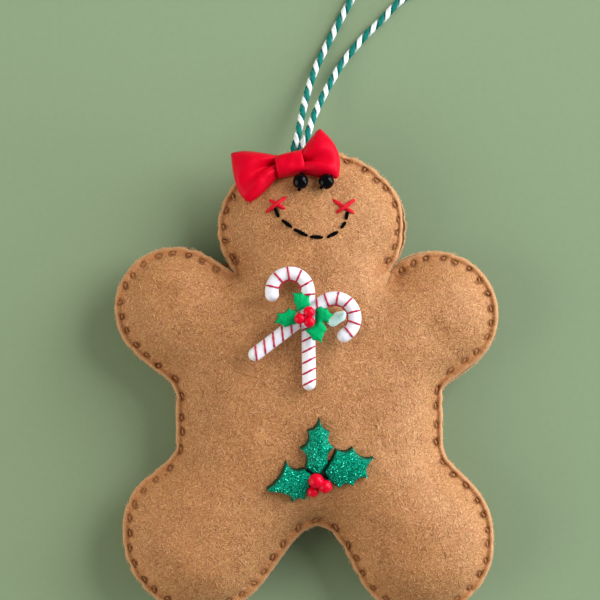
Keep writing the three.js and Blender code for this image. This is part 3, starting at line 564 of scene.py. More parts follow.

# What the stitches do round them: painted shade in the holes at their ends and on their flanks, dimples and
# a rim pulled inward
depth = depth_inside(plan)
near_edge = nearest_edge(plan)[0]
local_inset = seam_inset[near_edge]
gap = round_edge(edge_run[near_edge][:, None] - stitch_run[None])
off_line = depth[:, None] - stitch_inset[None]
closeness = bell(gap, 0.9).sum(1)
dimple = (bell(gap, 0.9) * bell(off_line, 0.6)).sum(1)
cosine, sine = np.cos(stitch_slant)[None], np.sin(stitch_slant)[None]
lengthwise = np.abs(gap * cosine + off_line * sine)
sideways = off_line * cosine - gap * sine
hole_ends = bell(lengthwise - stitch_half[None] - 0.14, 0.27) * bell(sideways, 0.4)
flanks = bell(lengthwise, 0.8, 4) * (bell(sideways - 0.55, 0.24) + 0.5 * bell(sideways + 0.45, 0.2))
shade = bell(gap, 1.2) * bell(off_line, 0.8)
# The painted shade in and round the stitch holes
hole_shade = np.minimum(((1.2 * hole_ends + 1.1 * flanks + 0.28 * shade) * stitch_sunk[None]).sum(1), 1)
cut_edge = bell(depth, 0.4)
# The rim band between the cut edge and the stitches is darker and redder: partly pressed felt, partly
# painted shade
rim_band = bell(depth - 0.55 * local_inset, 0.62 * local_inset, 4)
pulled = (bell(gap, 1.0) * stitch_pull[None]).sum(1) * bell(depth, 1.3) * 0.4

# The filling is packed close behind the two neck corners
corner_reach = HEAD[2] * math.cos(NECK)
corner_y = HEAD[1] - HEAD[3] * math.sin(NECK)
off_corner = np.hypot(np.abs(plan[:, 0] - HEAD[0]) - corner_reach, plan[:, 1] - corner_y)
near_neck = np.exp(-off_corner ** 2 / 30)


def lump(x, y, size, seed):
    return noise.noise(Vector((x / size, y / size, seed)))


def felt_lift(seed):
    """Height of a panel's outer face over the seam."""
    lift = 1.3 - 0.55 * bell(depth, 0.4)
    lift += 0.22 * bell(depth - 0.8, 0.5) * (1 - np.minimum(closeness, 1))
    lift -= 0.14 * bell(depth - local_inset, 0.6)
    lift -= 0.6 * dimple
    past_seam = np.logaddexp(0, (depth - local_inset - 0.25) / 0.4) * 0.4
    lift += SWELL * (1 - np.exp(-past_seam / SWELL_REACH))
    lift += NECK_SWELL * near_neck * np.clip((depth - 1.3) / 2.2, 0, 1)
    soft = np.array([0.7 * lump(x, y, 13, seed) + 0.35 * lump(x, y, 5.5, seed + 7) for x, y in plan])
    return lift + soft * np.clip((depth - 1.5) / 6, 0, 1)


BACK_REST = 0.05
BACK_STIFF = 2.2
PANEL_GAP = 0.04
pull_way = edge_in[near_edge]
back_plan = plan + pull_way * pulled[:, None]
front_plan = back_plan + pull_way * (lean_back[near_edge] * bell(depth, 2.2))[:, None]
front_top = SEAM_HEIGHT + felt_lift(3.0)
back_low = SEAM_HEIGHT - felt_lift(19.0)
back_low = BACK_REST + np.logaddexp(0, (back_low - BACK_REST) * BACK_STIFF) / BACK_STIFF
thin = FELT * np.clip(0.75 + depth / 8, 0, 1.2)
front_under = np.maximum(front_top - thin, SEAM_HEIGHT + PANEL_GAP)
back_over = np.minimum(back_low + thin, SEAM_HEIGHT - PANEL_GAP)


def sheet_faces(count):
    """Faces of a closed sheet whose points are its upper, lower and edge points in turn."""
    faces = list(plan_faces)
    faces += [tuple(i + count for i in reversed(face)) for face in plan_faces]
    for i, upper in enumerate(rim):
        j = (i + 1) % len(rim)
        faces.append((2 * count + i, 2 * count + j, rim[j], upper))
        faces.append((upper + count, rim[j] + count, 2 * count + j, 2 * count + i))
    return faces


def felt_group():
    """Felt: strands that lie every which way, soft patches, a darker rim of pressed felt and painted shade,
    a pale edge and painted shade in the stitch holes.
    """
    inputs = {"Light": COLOUR, "Dark": COLOUR, "Fibre": COLOUR, "Hole_shade": VALUE, "Edge": VALUE, "Rim": VALUE}
    group, taken, given, place = new_group("felt", inputs, {"Color": COLOUR, "Height": VALUE})

    def cloud(scale, detail, output="Fac"):
        node = add_node(group, "ShaderNodeTexNoise", Scale=scale, Detail=detail)
        group.links.new(place, node.inputs["Vector"])
        return node.outputs[output]

    def maths(operation, a, b):
        node = add_node(group, "ShaderNodeMath")
        node.operation = operation
        for socket, value in zip(node.inputs, (a, b)):
            if isinstance(value, float):
                socket.default_value = value
            else:
                group.links.new(value, socket)
        return node.outputs["Value"]

    def spread_of(value, amount):
        return maths("MULTIPLY", maths("SUBTRACT", value, 0.5), amount)

    def blend(share, a, b):
        node = add_node(group, "ShaderNodeMix")
        node.data_type = "RGBA"
        for socket, value in ((node.inputs["Factor"], share), (node.inputs["A"], a), (node.inputs["B"], b)):
            if isinstance(value, tuple):
                socket.default_value = value
            else:
                group.links.new(value, socket)
        return node.outputs["Result"]

    bent = add_node(group, "ShaderNodeVectorMath")
    bent.operation = "MULTIPLY_ADD"
    bent.inputs[1].default_value = (0.0009, 0.0009, 0.0009)
    group.links.new(cloud(850.0, 1.0, "Color"), bent.inputs[0])
    group.links.new(place, bent.inputs[2])

    def strands(cells, along, across):
        """Curly strands, each patch of them lying its own way."""
        patches = add_node(group, "ShaderNodeTexVoronoi", Scale=cells, Randomness=1.0)
        group.links.new(bent.outputs["Vector"], patches.inputs["Vector"])
        split = add_node(group, "ShaderNodeSeparateColor")
        group.links.new(patches.outputs["Color"], split.inputs["Color"])
        turned = add_node(group, "ShaderNodeVectorRotate")
        turned.rotation_type = "Z_AXIS"
        group.links.new(bent.outputs["Vector"], turned.inputs["Vector"])
        group.links.new(maths("MULTIPLY", split.outputs["Red"], 6.28), turned.inputs["Angle"])
        drawn = add_node(group, "ShaderNodeVectorMath")
        drawn.operation = "MULTIPLY"
        drawn.inputs[1].default_value = (along, across, along)
        group.links.new(turned.outputs["Vector"], drawn.inputs[0])
        node = add_node(group, "ShaderNodeTexNoise", Scale=1.0, Detail=1.0)
        group.links.new(drawn.outputs["Vector"], node.inputs["Vector"])
        return node.outputs["Fac"]

    long_ones = spread_of(strands(900.0, 950.0, 4600.0), 1.5)
    short_ones = spread_of(strands(1600.0, 1800.0, 6000.0), 2.0)
    grain = spread_of(cloud(5200.0, 1.0), 0.8)
    matted = maths("ADD", maths("ADD", long_ones, short_ones), grain)
    crests = add_node(group, "ShaderNodeMapRange", From_Min=0.12, From_Max=0.5)
    group.links.new(long_ones, crests.inputs["Value"])
    patch = spread_of(cloud(120.0, 3.0), 0.5)
    tone = maths("ADD", maths("ADD", matted, patch), 0.5)
    hue = add_node(group, "ShaderNodeHueSaturation")
    group.links.new(maths("ADD", spread_of(cloud(520.0, 2.0), 0.022), 0.5), hue.inputs["Hue"])
    group.links.new(blend(tone, taken["Dark"], taken["Light"]), hue.inputs["Color"])
    colour = blend(maths("MULTIPLY", crests.outputs["Result"], 0.55), hue.outputs["Color"], taken["Fibre"])
    # Darker, redder rim band: partly pressed felt, partly painted shade
    colour = blend(maths("MULTIPLY", taken["Rim"], 0.38), colour, (0.47, 0.178, 0.05, 1))
    colour = blend(maths("MULTIPLY", taken["Edge"], 0.4), colour, taken["Fibre"])
    # Painted shade: the stitch holes and the felt beside the threads are darkened
    colour = blend(maths("MULTIPLY", taken["Hole_shade"], 0.92), colour, (0.11, 0.026, 0.005, 1))
    group.links.new(colour, given["Color"])
    group.links.new(matted, given["Height"])
    return group


FELT_RELIEF = (0.5, 0.00012)
FELT_ROUGHNESS = 0.6
HOLE_ROUGHER = 0.4
felt_material, tree, shader = new_material(
    "felt_ginger", Roughness=FELT_ROUGHNESS, Specular_IOR_Level=0.36,
    Sheen_Weight=0.2, Sheen_Roughness=0.4, Sheen_Tint=(1.0, 0.88, 0.72, 1),
)
felt = add_node(tree, "ShaderNodeGroup")
felt.node_tree = felt_group()
set_inputs(felt, Light=(0.63, 0.292, 0.108, 1), Dark=(0.27, 0.093, 0.021, 1), Fibre=(0.86, 0.55, 0.3, 1))
for socket, mask in (("Rim", "rim_band"), ("Edge", "cut_edge"), ("Hole_shade", "hole_shade")):
    painted = add_node(tree, "ShaderNodeAttribute")
    painted.attribute_name = mask
    tree.links.new(painted.outputs["Fac"], felt.inputs[socket])
dull = add_node(tree, "ShaderNodeMath")
dull.operation = "MULTIPLY_ADD"
dull.inputs[1].default_value = HOLE_ROUGHER
dull.inputs[2].default_value = FELT_ROUGHNESS
tree.links.new(painted.outputs["Fac"], dull.inputs[0])
tree.links.new(dull.outputs["Value"], shader.inputs["Roughness"])
tree.links.new(felt.outputs["Color"], shader.inputs["Base Color"])
add_relief(tree, shader, felt.outputs["Height"], *FELT_RELIEF)

masks = (("hole_shade", hole_shade, 0.0), ("cut_edge", cut_edge, 1.0), ("rim_band", rim_band, 0.0))
panels = {}
for name, places, upper, lower, lean in (
    ("front", front_plan, front_top, front_under, lean_back),
    ("back", back_plan, back_over, back_low, np.zeros(len(edge))),
):
    panel_edge = edge + edge_in * (pulled[rim] - 0.02 + lean)[:, None]
    middle = (upper[rim] + lower[rim]) / 2
    points = np.vstack([
        np.column_stack([places, upper]),
        np.column_stack([places, lower]),
        np.column_stack([panel_edge, middle]),
    ])
    panel = add_piece(f"felt_{name}", points, sheet_faces(len(plan)), [felt_material])
    for mask, values, rim_value in masks:
        painted = panel.data.attributes.new(mask, "FLOAT", "POINT")
        shares = np.concatenate([values, values, np.full(len(rim), rim_value)])
        painted.data.foreach_set("value", shares.astype(np.float32))
    stand_for(panel, "figure", "felt_brown", f"{name}_panel")
    panels[name] = panel

front_tree = BVHTree.FromObject(panels["front"], bpy.context.evaluated_depsgraph_get())


def felt_height(x, y):
    """Height of the front felt under a point of the figure, in millimetres."""
    start = Vector(in_frame(x, y, 200))
    hit = front_tree.ray_cast(start, Vector((0, 0, -1)))[0]
    return hit.z * 1000 if hit else SEAM_HEIGHT


# Loose fibres
# The felt's own wool: short curly hairs that lie on its faces and stand a little out of the cut edge.
# Most are paler than the felt, and a few are dark.
FACE_FIBRES = 3600
FACE_FIBRE = 0.046
EDGE_FIBRES = 1600
EDGE_FIBRE = 0.055
FIBRE_TAPER = np.array((0.35, 0.9, 1.0, 0.9, 0.35))
TONE_SHARES = (0.66, 0.28, 0.06)


def fibre_tone(name, *colour):
    low, high = ([share * c for c in colour] for share in (0.75, 1.1))
    return mottled_material(name, low, high, (330.0, 2.0), Roughness=0.9, Specular_IOR_Level=0.1)


fibre_tones = [
    fibre_tone("fibre_pale", 0.9, 0.53, 0.28),
    fibre_tone("fibre_tan", 0.74, 0.36, 0.155),
    fibre_tone("fibre_dark", 0.32, 0.13, 0.045),
]


def round_sections(radius, around):
    """Offsets of a round section at each point of a path, from its radii and the angles around it."""
    radius = np.reshape(radius, (len(radius), -1))
    return np.stack([radius * np.cos(around), radius * np.sin(around)], axis=2)


def add_fibres(name, starts, headings, lengths, height, thickness):
    """Curly hairs of five points each, three-sided, on a face whose height is known."""
    mesh = ([], [], [])
    for start, heading, length in zip(starts, headings, lengths):
        curl = dice.uniform(-2.2, 2.2)
        radius = thickness * dice.uniform(0.7, 1.2)
        tone = dice.choice(3, p=TONE_SHARES)
        spot = np.array(start)
        hair = []
        for share in np.linspace(0, 1, len(FIBRE_TAPER)):
            way = heading + curl * (share - 0.5)
            spot = spot + np.array((math.cos(way), math.sin(way))) * length / 4
            hair.append((*spot, height(*spot) + 0.05 + 0.08 * math.sin(math.pi * share)))
        join(mesh, *swept(np.array(hair), round_sections(radius * FIBRE_TAPER, full_turn(3))), tone)
    fibres = add_piece(name, *mesh[:2], fibre_tones, mesh[2])
    return stand_for(fibres, "figure", "felt_brown")


def edge_height(x, y):
    return SEAM_HEIGHT + 0.5


spread = dice.choice(np.where(depth > 2.4)[0], FACE_FIBRES * 3)
weight = np.where(depth[spread] < 4.6, 0.1, 1.0)
spread = spread[dice.uniform(size=len(spread)) < weight][:FACE_FIBRES]
starts = front_plan[spread] + dice.uniform(-0.6, 0.6, (len(spread), 2))
starts = starts[within(starts, COARSE)]
headings = dice.uniform(0, 2 * math.pi, len(starts))
lengths = dice.uniform(0.9, 2.6, len(starts))
add_fibres("fibres_front", starts, headings, lengths, felt_height, FACE_FIBRE)
along = dice.choice(len(edge), EDGE_FIBRES)
outward = np.arctan2(-edge_in[along][:, 1], -edge_in[along][:, 0])
headings = outward + dice.uniform(-1.2, 1.2, len(along))
lengths = dice.uniform(0.35, 0.72, len(along))
add_fibres("fibres_edge", edge[along] + edge_in[along] * 0.35, headings, lengths, edge_height, EDGE_FIBRE)


# Seam thread
# One matching brown thread in running stitch along the rim, through both panels, pulled tight so that each
# stitch sinks into the felt.
SEAM_THREAD = 0.8
SEAM_RISE = ((-1.0, -0.8), (-0.75, -0.05), (-0.3, 0.22), (0.3, 0.22), (0.75, -0.05), (1.0, -0.8))
STRAND_CORE = 0.64
STRAND_LOBE = 0.4
thread_brown = yarn_material("thread_brown", (0.26, 0.09, 0.024), (0.5, 0.22, 0.08), 0.7)


def floss(path, diameter, strands, pitch, sides, point=0.5):
    """Points and faces of a thread of twisted strands that narrows over point diameters at both ends."""
    run = run_along(path)
    around = full_turn(strands * sides)
    lobes = np.abs(np.cos((strands * around[None] + 2 * math.pi * run[:, None] / pitch) / 2))
    radius = diameter / 2 * (STRAND_CORE + STRAND_LOBE * lobes)
    ends = np.minimum(run, run[-1] - run) / (diameter * point)
    radius *= np.sqrt(1 - (1 - np.clip(ends, 0.06, 1)) ** 2)[:, None]
    return swept(path, round_sections(radius, around))


def on_edge(along, inset):
    at = int(round(along / EDGE_STEP)) % len(edge)
    return edge[at] + edge_in[at] * (inset + 0.15 + lean_back[at] * bell(inset, 2.2))


seam_points = []
for k in range(stitch_count):
    middle = on_edge(stitch_run[k], stitch_inset[k])
    way_in = edge_in[stitch_at[k]]
    straight = np.array((way_in[1], -way_in[0]))
    way = straight * math.cos(stitch_slant[k]) + way_in * math.sin(stitch_slant[k])
    half = stitch_half[k]
    top = felt_height(*middle)
    for share, rise in SEAM_RISE:
        seam_points.append((*(middle + way * half * share), top + rise))
    below = 2 * SEAM_HEIGHT - top - 0.1
    following = (k + 1) % stitch_count
    ahead = on_edge(stitch_run[following], stitch_inset[following])
    seam_points.append((*(middle + way * (half + 0.25)), below))
    seam_points.append((*(ahead - way * (half + 0.25)), below))
points, faces = floss(smooth_route(seam_points[:-2], 0.2), SEAM_THREAD, strands=2, pitch=1.6, sides=4)
seam = add_piece("running_stitch", points, faces, [thread_brown])
stand_for(seam, "figure", "thread_brown", "seam_thread")

# Filling
# Loose polyester fibre pushed in by hand; it fills the space between the panels in soft lumps.
# It stops short of the seam.
FILLING_INSET = 3.6
FILLING_GAP = 0.45
filling_material = mottled_material(
    "fibre_filling", (0.7, 0.68, 0.63), (0.92, 0.91, 0.88), (420.0, 5.0, 0.65, 1.5), (0.8, 0.0008),
    Roughness=0.95,
)
core = np.where(depth > FILLING_INSET)[0]
core_at = -np.ones(len(plan), int)
core_at[core] = np.arange(len(core))
core_faces = [tuple(core_at[list(face)]) for face in plan_faces if (core_at[list(face)] >= 0).all()]
tuft = np.array([0.35 * lump(x, y, 4.0, 31.0) for x, y in plan[core]])
core_top = np.maximum(front_under[core] - FILLING_GAP + tuft, SEAM_HEIGHT + 0.3)
core_low = np.minimum(back_over[core] + FILLING_GAP - tuft, SEAM_HEIGHT - 0.3)
faces = core_faces + [tuple(i + len(core) for i in reversed(face)) for face in core_faces]
sides = [(a, b) for face in core_faces for a, b in zip(face, face[1:] + face[:1])]
shared = set(sides)
faces += [(a + len(core), b + len(core), b, a) for a, b in sides if (b, a) not in shared]
points = np.vstack([np.column_stack([plan[core], core_top]), np.column_stack([plan[core], core_low])])
filling = add_piece("fibre_filling", points, faces, [filling_material])
stand_for(filling, "figure", "stuffing_white", "stuffing")


# Smile
# Seven stitches of black stranded floss, back-stitched in a curve; each sinks into the felt at its ends.
# Their ends are places in a picture of 600 by 600 steps.
PICTURE_STEPS = 600
SMILE_THREAD = 0.95
FLOSS_STRANDS = 4
STITCH_ARCH = ((-0.04, -0.7), (0.06, -0.1), (0.25, 0.8), (0.5, 1.0), (0.75, 0.8), (0.94, -0.1), (1.04, -0.7))
SMILE = [
    ((274.4, 207.5), (278.9, 217.3)), ((282, 220), (292, 227.6)), ((294, 229.3), (307.3, 236)),
    ((310, 236.7), (322.8, 237.4)), ((327, 237.4), (338, 231.8)), ((341, 228.3), (345.6, 222)),
    ((346, 219.4), (347.6, 211.7)),
]
thread_black = yarn_material("thread_black", (0.001, 0.001, 0.001), (0.004, 0.004, 0.005), 0.9, 0.02)


def picture_point(x, y, height=19.0):
    """A place on the figure, at a height, from its place in the picture."""
    step = PICTURE_WIDTH / PICTURE_STEPS * (1 - (height - SEAM_HEIGHT) / CAMERA_HEIGHT)
    middle = PICTURE_STEPS / 2
    return np.array((PICTURE_MIDDLE[0] + (x - middle) * step, PICTURE_MIDDLE[1] + (middle - y) * step))


def on_felt(spot, rise):
    return (*spot, felt_height(*spot) + rise)


def laid_stitch(name, start, end, diameter, rise, material):
    """A stitch of floss laid on the felt between two places in the picture."""
    start, end = picture_point(*start), picture_point(*end)
    route = []
    for share, sink in STITCH_ARCH:
        lift = diameter * 0.3 * sink + rise * math.sin(math.pi * min(max(share, 0), 1))
        route.append(on_felt(start + (end - start) * share, lift))
    path = smooth_route(route, 0.1)
    points, faces = floss(path, diameter, FLOSS_STRANDS, pitch=2.1, sides=5, point=1.3)
    return add_piece(name, points, faces, [material])


for number, (start, end) in enumerate(SMILE, 1):
    piece = laid_stitch(f"smile_{number}", start, end, SMILE_THREAD, 0.0, thread_black)
    stand_for(piece, "figure", "thread_black", f"smile_stitch_{number}")

# Cheeks
# A cross of red stranded floss on each cheek: one leg laid over the other.
# Each leg has its two ends in the picture and the rise of its middle.
CHEEK_THREAD = 1.0
CHEEKS = {
    "left_cheek_under": ((269.5, 199.8), (284.9, 208.9), 0.0),
    "left_cheek_over": ((266.6, 211.7), (285.6, 197), 0.75),
    "right_cheek_under": ((333.3, 199.8), (353.6, 213.1), 0.0),
    "right_cheek_over": ((336.8, 212.4), (354.3, 199.8), 0.75),
}
thread_red = yarn_material("thread_red", (0.48, 0.004, 0.012), (0.84, 0.014, 0.036), 0.6)
for node, (start, end, rise) in CHEEKS.items():
    piece = laid_stitch(f"{node}_floss", start, end, CHEEK_THREAD, rise, thread_red)
    stand_for(piece, "figure", "thread_red", node)

# Bead eyes
# Black seed beads of polished glass, each held by a loop of black thread through its bore, on which it can
# turn. The thread goes down into the felt close beside the bead.
BEAD_RADIUS = 1.9
BEAD_HALF = 1.7
BORE = 0.45
BORE_LIP = 0.12
EYE_THREAD = 0.85
THREAD_IN_BORE = ((-1.78, -0.35), (-1.0, 0), (0, 0), (1.0, 0), (1.78, -0.35))
THREAD_IN_FELT = ((1.95, 0.0), (2.06, -0.5))
EYES = {"left": (-1.85, 48.55, 80), "right": (4.5, 48.55, 48)}
bead_material, tree, shader = new_material(
    "bead_glass", Base_Color=(0.001, 0.001, 0.002, 1), Roughness=0.09, Specular_IOR_Level=0.11
)
haze = add_mottle(tree, 900.0, 3.0)
ramp = add_node(tree, "ShaderNodeMapRange", To_Min=0.03, To_Max=0.09)
tree.links.new(haze.outputs["Clouds"], ramp.inputs["Value"])
tree.links.new(ramp.outputs["Result"], shader.inputs["Roughness"])


def lathed(profile, count):
    """Points and faces of a ring turned about +Z from a closed profile of (radius, height) points."""
    points = [(r * math.cos(a), r * math.sin(a), h) for a in full_turn(count) for r, h in profile]
    size = len(profile)
    faces = []
    for i in range(count):
        for j in range(size):
            a, b = i * size + j, i * size + (j + 1) % size
            c, d = ((i + 1) % count) * size + (j + 1) % size, ((i + 1) % count) * size + j
            faces.append((a, d, c, b))
    return np.array(points), faces


bead_profile = [(BORE, BEAD_HALF * 0.75 * t) for t in np.linspace(-1, 1, 7)[1:-1]][::-1]
for angle in np.linspace(-math.pi / 2 + 0.22, math.pi / 2 - 0.22, 30):
    reach = BORE + BORE_LIP + (BEAD_RADIUS - BORE - BORE_LIP) * math.cos(angle) ** 0.85
    bead_profile.append((reach, BEAD_HALF * math.sin(angle)))
bead_points, bead_faces = lathed(bead_profile, 40)
for side, (x, y, turn) in EYES.items():
    low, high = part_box(f"{side}_eye_bead")
    z = (low[2] + high[2]) * 500
    turned = Matrix.Rotation(math.radians(turn), 4, "Z") @ Matrix.Rotation(math.radians(90), 4, "Y")
    points = [tuple(turned @ Vector(p) + Vector((x, y, z))) for p in bead_points]
    bead = add_piece(f"{side}_bead_glass", points, bead_faces, [bead_material])
    stand_for(bead, f"{side}_bead", "bead_black", f"{side}_eye_bead")
    middle = np.array((x, y))
    way = np.array((math.cos(math.radians(turn)), math.sin(math.radians(turn))))
    route = [on_felt(middle - way * reach, rise) for reach, rise in reversed(THREAD_IN_FELT)]
    route += [(*(middle + way * reach), z + rise) for reach, rise in THREAD_IN_BORE]
    route += [on_felt(middle + way * reach, rise) for reach, rise in THREAD_IN_FELT]
    points, faces = floss(smooth_route(route, 0.08), EYE_THREAD, strands=2, pitch=1.4, sides=5)
    thread = add_piece(f"{side}_eye_floss", points, faces, [thread_black])
    stand_for(thread, "figure", "thread_black", f"{side}_eye_thread")

# Ribbon bow
# A flat bow of red satin ribbon: two loops pinched in the middle by a band of the same ribbon, sewn on.
# It leans on the head's slope.
BOW = (-4.5, 53.95)
BOW_TURN = math.radians(14)
BOW_LEAN = math.radians(17)
RIBBON = 0.35
low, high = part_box("bow_knot")
bow_place = (
    Matrix.Translation((*BOW, (low[2] + high[2]) * 500))
    @ Matrix.Rotation(BOW_TURN, 4, "Z")
    @ Matrix.Rotation(-BOW_LEAN, 4, "X")
)
satin, tree, shader = new_material(
    "satin_red", Roughness=0.4, Specular_IOR_Level=0.35, Specular_Tint=(1.0, 0.12, 0.2, 1)
)
place = add_node(tree, "ShaderNodeTexCoord")
turn = add_node(tree, "ShaderNodeMapping", Rotation=(0, 0, BOW_TURN))
weave = add_node(tree, "ShaderNodeTexWave", Scale=2600.0, Distortion=0.6, Detail=2.0)
weave.bands_direction = "Y"
tree.links.new(place.outputs["Object"], turn.inputs["Vector"])
tree.links.new(turn.outputs["Vector"], weave.inputs["Vector"])
mix = tree.nodes.new("ShaderNodeMix")
mix.data_type = "RGBA"
set_inputs(mix, A=(0.6, 0.0004, 0.012, 1), B=(0.76, 0.001, 0.022, 1))
tree.links.new(weave.outputs["Fac"], mix.inputs["Factor"])
tree.links.new(mix.outputs["Result"], shader.inputs["Base Color"])
add_relief(tree, shader, weave.outputs["Fac"], 0.12, 0.00008)


def curve_through(points, shares):
    """Points at shares of the way along a smooth curve through some points."""
    fine = smooth_route(points, 0.05)
    return fine[(np.clip(shares, 0, 1) * (len(fine) - 1)).round().astype(int)]


def ribbon_layer(front, shares, v, top, bottom, bulge, pleats):
    """One layer of a loop, as rows of points across the ribbon; only the front layer has pleats."""
    outward = np.sign(top[-1, 0])
    layer = []
    for u, high_side, low_side in zip(shares, top, bottom):
        flat = (low_side + (high_side - low_side) * v[:, None])[:, :2]
        flat[:, 0] += outward * bulge * u ** 3
        belly = (0.5 + 2.5 * math.sin(math.pi * (u * 0.6 + 0.05))) * math.sqrt(max(1 - u ** 7, 0))
        crown = 0.25 + 0.75 * (1 - np.abs(2 * v - 1) ** 3) ** 0.7
        height = front * belly * crown
        if front > 0:
            height = height - 0.8 * bell(v, 0.07)
            for centre, drift, deep, width, reach in pleats:
                fade = max(1 - u / reach, 0) ** 0.7
                height = height - deep * fade * bell(v - centre - drift * u, width * (1 + 0.9 * u))
        crumple = np.array([0.22 * lump(x, y, 2.6, front * 4.0) for x, y in flat])
        layer.append(np.column_stack([flat, height + crumple * min(u * 4, 1)]))
    return layer


def ribbon_loop(name, top_edge, low_edge, fold_bulge, skew, pleats):
    """A loop of ribbon pressed flat: a front and a back layer that meet in a fold at the far end."""
    shares = np.linspace(0, 1, 46)
    v = np.linspace(0, 1, 30)
    top = curve_through(top_edge, shares)
    bottom = curve_through(low_edge, shares)
    outward = np.sign(top[-1, 0])
    bulge = fold_bulge * np.sin(math.pi * v ** skew) ** 0.8
    front, back = (np.array(ribbon_layer(face, shares, v, top, bottom, bulge, pleats)) for face in (1, -1))
    path = np.concatenate([front, back[::-1][1:]])
    normal = np.cross(np.gradient(path, axis=0), np.gradient(path, axis=1))
    normal /= np.linalg.norm(normal, axis=2)[:, :, None] + 1e-9
    selvedge = 1 + 0.9 * bell(0.5 - np.abs(v - 0.5), 0.03)
    half_thick = normal * (RIBBON / 2 * outward * selvedge)[None, :, None]
    points = np.concatenate([(path + half_thick).reshape(-1, 3), (path - half_thick).reshape(-1, 3)])
    rows_count, row_size = path.shape[:2]
    half = rows_count * row_size
    faces = []

    def quad(a, b, c, d):
        faces.append((a, b, c, d) if outward > 0 else (d, c, b, a))

    for i in range(rows_count - 1):
        for j in range(row_size - 1):
            a = i * row_size + j
            quad(a, a + row_size, a + row_size + 1, a + 1)
            quad(half + a + 1, half + a + row_size + 1, half + a + row_size, half + a)
        a, b = i * row_size, i * row_size + row_size - 1
        quad(a, half + a, half + a + row_size, a + row_size)
        quad(b + row_size, half + b + row_size, half + b, b)
    for j in range(row_size - 1):
        a, b = j, (rows_count - 1) * row_size + j
        quad(a + 1, half + a + 1, half + a, a)
        quad(b, half + b, half + b + 1, b + 1)
    return add_piece(name, [tuple(bow_place @ Vector(p)) for p in points], faces, [satin])


left_loop = ribbon_loop(
    "ribbon_left_loop",
    top_edge=[(-1.4, 1.4, 0), (-3.1, 1.7, 0), (-6.5, 3.2, 0), (-10.2, 4.6, 0), (-13.6, 5.2, 0)],
    low_edge=[(-1.4, -2.5, 0), (-4.1, -3.3, 0), (-7.0, -5.1, 0), (-9.6, -6.7, 0), (-11.9, -7.9, 0)],
    fold_bulge=1.75,
    skew=0.62,
    pleats=[(0.72, -0.45, 3.4, 0.1, 1.1), (0.36, -0.1, 0.8, 0.07, 0.6), (0.12, 0.0, 0.6, 0.06, 0.6)],
)
stand_for(left_loop, "figure", "satin_red", "bow_left_loop")
right_loop = ribbon_loop(
    "ribbon_right_loop",
    top_edge=[(1.4, 1.7, 0), (3.7, 1.6, 0), (5.4, 2.9, 0), (7.4, 4.5, 0), (9.1, 5.8, 0)],
    low_edge=[(1.2, -3.2, 0), (2.4, -3.9, 0), (5.0, -5.2, 0), (7.8, -6.4, 0), (10.3, -7.3, 0)],
    fold_bulge=2.2,
    skew=1.0,
    pleats=[(0.6, -0.3, 3.0, 0.09, 1.05), (0.86, 0.0, 0.7, 0.06, 0.6), (0.22, 0.0, 0.6, 0.06, 0.5)],
)
stand_for(right_loop, "figure", "satin_red", "bow_right_loop")

# The band round the middle: folded ribbon, a little wider at the top, creased where it turns under
BAND_ROWS = 26
BAND_SIZE = 56
BAND_HALF = 3.5
BAND_DROP = 1.1
BAND_SQUARE = 0.74


def squared(value):
    """A cosine or sine bent towards a square with round corners."""
    return np.sign(value) * abs(value) ** BAND_SQUARE


outer = []
for share in np.linspace(-1, 1, BAND_ROWS):
    half_width, half_height = 2.8 - 0.1 * share ** 2, 2.75 - 0.5 * share ** 4
    for k in range(BAND_SIZE):
        angle = 2 * math.pi * k / BAND_SIZE
        y = half_width * squared(math.cos(angle)) - BAND_DROP
        z = half_height * squared(math.sin(angle))
        ripple = 0.1 * math.sin(3.2 * share + 1.6 * y) + 0.06 * math.sin(7 * share - y)
        outer.append((BAND_HALF * share - 0.15 + 0.04 * y, y, z + ripple * (1 if z > 0 else -1)))
inner = [(x, (y + BAND_DROP) * 0.86 - BAND_DROP, z * 0.8) for x, y, z in outer]
faces = []
half = len(outer)
last = half - BAND_SIZE
for k in range(BAND_SIZE):
    j = (k + 1) % BAND_SIZE
    for row in range(0, last, BAND_SIZE):
        a, b = row + k, row + j
        faces.append((a, b, b + BAND_SIZE, a + BAND_SIZE))
        faces.append((half + a + BAND_SIZE, half + b + BAND_SIZE, half + b, half + a))
    faces.append((half + k, half + j, j, k))
    faces.append((last + k, last + j, half + last + j, half + last + k))
band = add_piece("ribbon_band", [tuple(bow_place @ Vector(p)) for p in outer + inner], faces, [satin])
stand_for(band, "figure", "satin_red", "bow_knot")

# Candy canes
# Hand-rolled white polymer clay, bent into hooks and baked; thin red lines are painted over the front.
# Each cane has its hook's side, shaft, hook radius, foot and turn, and the slope of its lines.
CANE = 3.4
CANE_STEP = 0.3
CANE_TIP = 1.6
HOOK_TURN = math.radians(190)
CANES = {
    "upright_cane": (-1, 24.4, 4.45, (0.25, -3.0), math.radians(0.7), -0.85),
    "slanted_cane": (1, 22.6, 4.85, (-14.35, 4.9), math.radians(-52.5), 1.0),
}
LINE_PITCH = 2.7
LINE_HALF = 0.25
INNER_LINE = 1.22
clay = mottled_material(
    "clay_white", (0.85, 0.83, 0.95), (0.93, 0.91, 1.0), (700.0, 4.0), (0.15, 0.0002), Roughness=0.42,
    Subsurface_Weight=0.4, Subsurface_Radius=(0.002, 0.0018, 0.0018), Coat_Weight=0.15, Coat_Roughness=0.3,
)
paint = mottled_material("paint_red", (0.42, 0.002, 0.03), (0.6, 0.006, 0.05), (1500.0, 2.0), Roughness=0.4)


